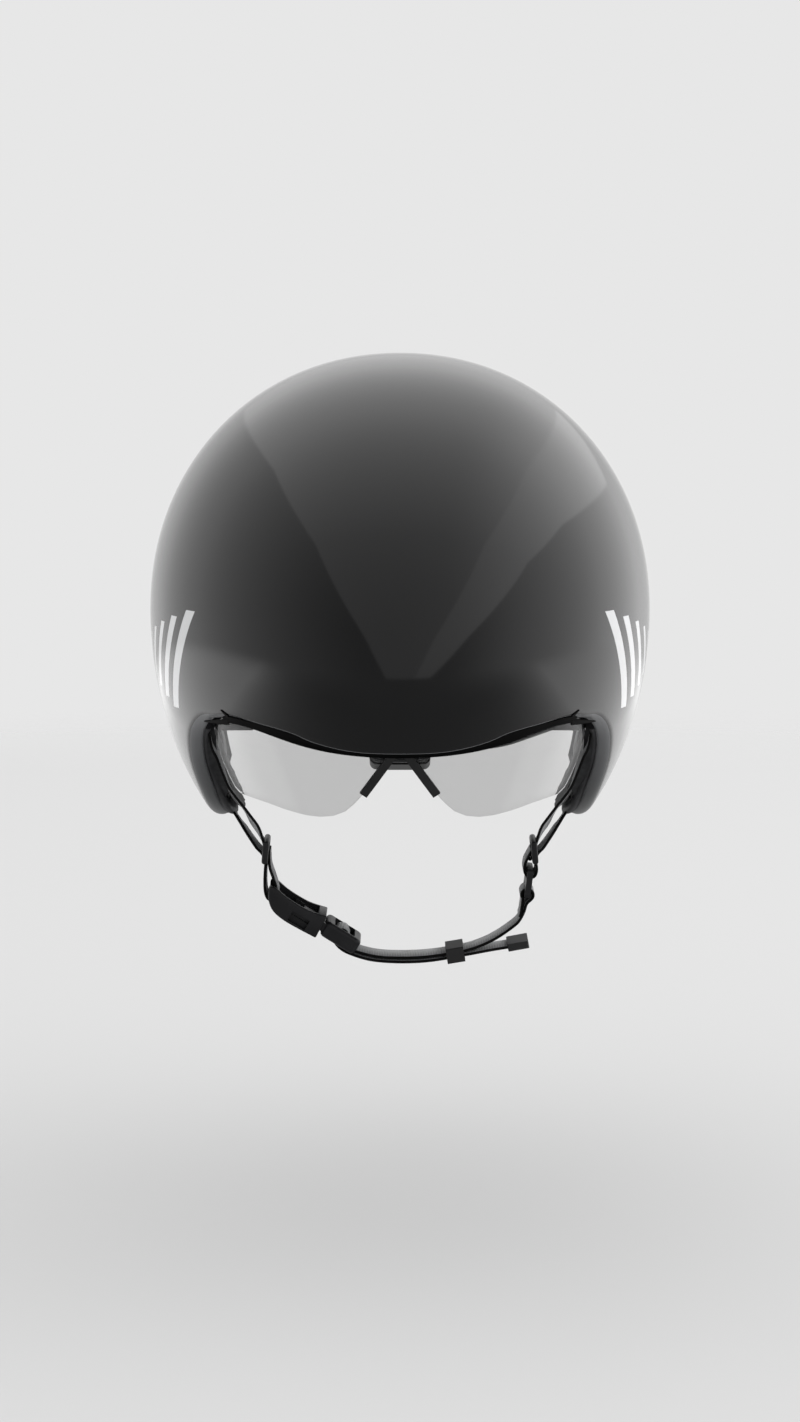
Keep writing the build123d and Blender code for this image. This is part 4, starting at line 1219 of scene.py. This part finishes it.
def divider(side):
    """Slim slider plate with a slot for the straps above and one for the jaw strap below."""
    lean, middle, width, height = radians(5 * side), (56.6 * side, -100.3), 2.6, 9.8
    plate = prism(turned(rounded(width, height, 1.2, 5), lean, middle), -0.0215, -0.0025, 0.0006)
    for offset in (2.6, -2.6):
        centre = (middle[0] + offset * sin(lean), middle[1] + offset * cos(lean))
        cut(plate, prism(turned(rounded(6.0, 2.6, 1.0, 4), lean, centre), -0.0194, -0.0046, 0))
    soften(plate, 35)
    return plate


def socket_half():
    """Socket half of the buckle, bowed below, with a window on each side and a bar for the strap."""
    lean, middle = radians(-32), (-54.5, -118.5)
    # Millimetres along the buckle from the bar, and up from it
    below = [(25.6, -5.3), (16.3, -5.9), (10.0, -6.0), (4.6, -5.1), (0.9, -2.7), (-1.2, 0.4), (-2.3, 2.6)]
    above = [(-1.9, 3.7), (0.6, 4.0), (5.8, 3.1), (12.0, 2.9), (17.0, 3.2), (21.5, 4.2), (24.8, 5.1)]
    outline = []
    for run in (below, above):
        outline += [(v.x, v.y) for v in curve_through([Vector((x, z, 0)) for x, z in run], 3)]
    body = prism(turned(outline, lean, middle), -0.022, -0.002, 0.0009)
    # Strap's slot, tongue's channel, front and rear window, and the opening above
    for left, right, low, high, first, last in (
        (-6.0, 5.2, -9.0, 9.0, -0.0197, -0.0043), (8.8, 28.0, -2.3, 2.3, -0.0203, -0.0037),
        (11.4, 19.8, -4.9, -0.4, -0.0240, -0.0196), (11.4, 19.8, -4.9, -0.4, -0.0044, 0.0),
        (5.0, 21.5, 0.6, 9.0, -0.0201, -0.0039),
    ):
        corners = [(left, low), (right, low), (right, high), (left, high)]
        cut(body, prism(turned(corners, lean, middle), first, last, 0))
    ring = turned(arc_points((0.0, 0.0), 1.35, 0, 345, 23), lean, middle)
    join(body, prism(ring, -0.0204, -0.0036, 0))
    soften(body, 35)
    return body


class HELMET_OT_hardware(Operator):
    """Buckle, dividers and link"""
    bl_idname = "helmet.hardware"
    bl_label = "Buckle and hardware"

    def execute(self, context):
        for node in ("buckle_male", "release_prong_front", "release_prong_rear", "strap_link"):
            dress(node, "fitting")
        for side, word in ((-1, "left"), (1, "right")):
            piece = divider(side)
            finish(piece, "divider_" + word, "helmet", "hardware_plastic", ["fitting"], "strap_divider_" + word)
        finish(socket_half(), "buckle_socket", "helmet", "hardware_plastic", ["fitting"], "buckle_female")
        return {"FINISHED"}


class HELMET_PT_builder(Panel):
    """Lists the pieces and their settings"""
    bl_idname = "HELMET_PT_builder"
    bl_label = "Time trial helmet"
    bl_space_type = "VIEW_3D"
    bl_region_type = "UI"
    bl_category = "Helmet"

    def draw(self, context):
        for group in SETTINGS:
            box = self.layout.box()
            settings = getattr(context.scene, group)
            for name in settings.bl_rna.properties.keys():
                if name not in ("rna_type", "name"):
                    box.prop(settings, name)
        for operator in OPERATORS:
            self.layout.operator(operator.bl_idname)


SETTINGS = {
    "helmet_stage": HelmetStageSettings,
    "helmet_colours": HelmetColourSettings,
    "helmet_shell": HelmetShellSettings,
    "helmet_straps": HelmetStrapSettings,
}
OPERATORS = (
    HELMET_OT_stage, HELMET_OT_shell, HELMET_OT_liner, HELMET_OT_visor, HELMET_OT_pads, HELMET_OT_cradle,
    HELMET_OT_straps, HELMET_OT_chin_strap, HELMET_OT_hardware,
)


def register():
    """Registers the settings, the operators and the panel."""
    for name, group in SETTINGS.items():
        bpy.utils.register_class(group)
        setattr(bpy.types.Scene, name, PointerProperty(type=group))
    for kind in (*OPERATORS, HELMET_PT_builder):
        bpy.utils.register_class(kind)


def unregister():
    """Takes back what register does."""
    for kind in reversed((*OPERATORS, HELMET_PT_builder)):
        bpy.utils.unregister_class(kind)
    for name, group in SETTINGS.items():
        delattr(bpy.types.Scene, name)
        bpy.utils.unregister_class(group)


def main():
    """Builds the helmet."""
    register()
    make_materials(bpy.context.scene.helmet_colours)
    bpy.ops.helmet.stage()
    bpy.ops.helmet.shell()
    bpy.ops.helmet.liner()
    bpy.ops.helmet.visor()
    bpy.ops.helmet.pads()
    bpy.ops.helmet.cradle()
    bpy.ops.helmet.straps()
    bpy.ops.helmet.chin_strap()
    bpy.ops.helmet.hardware()


if __name__ == "__main__":
    main()
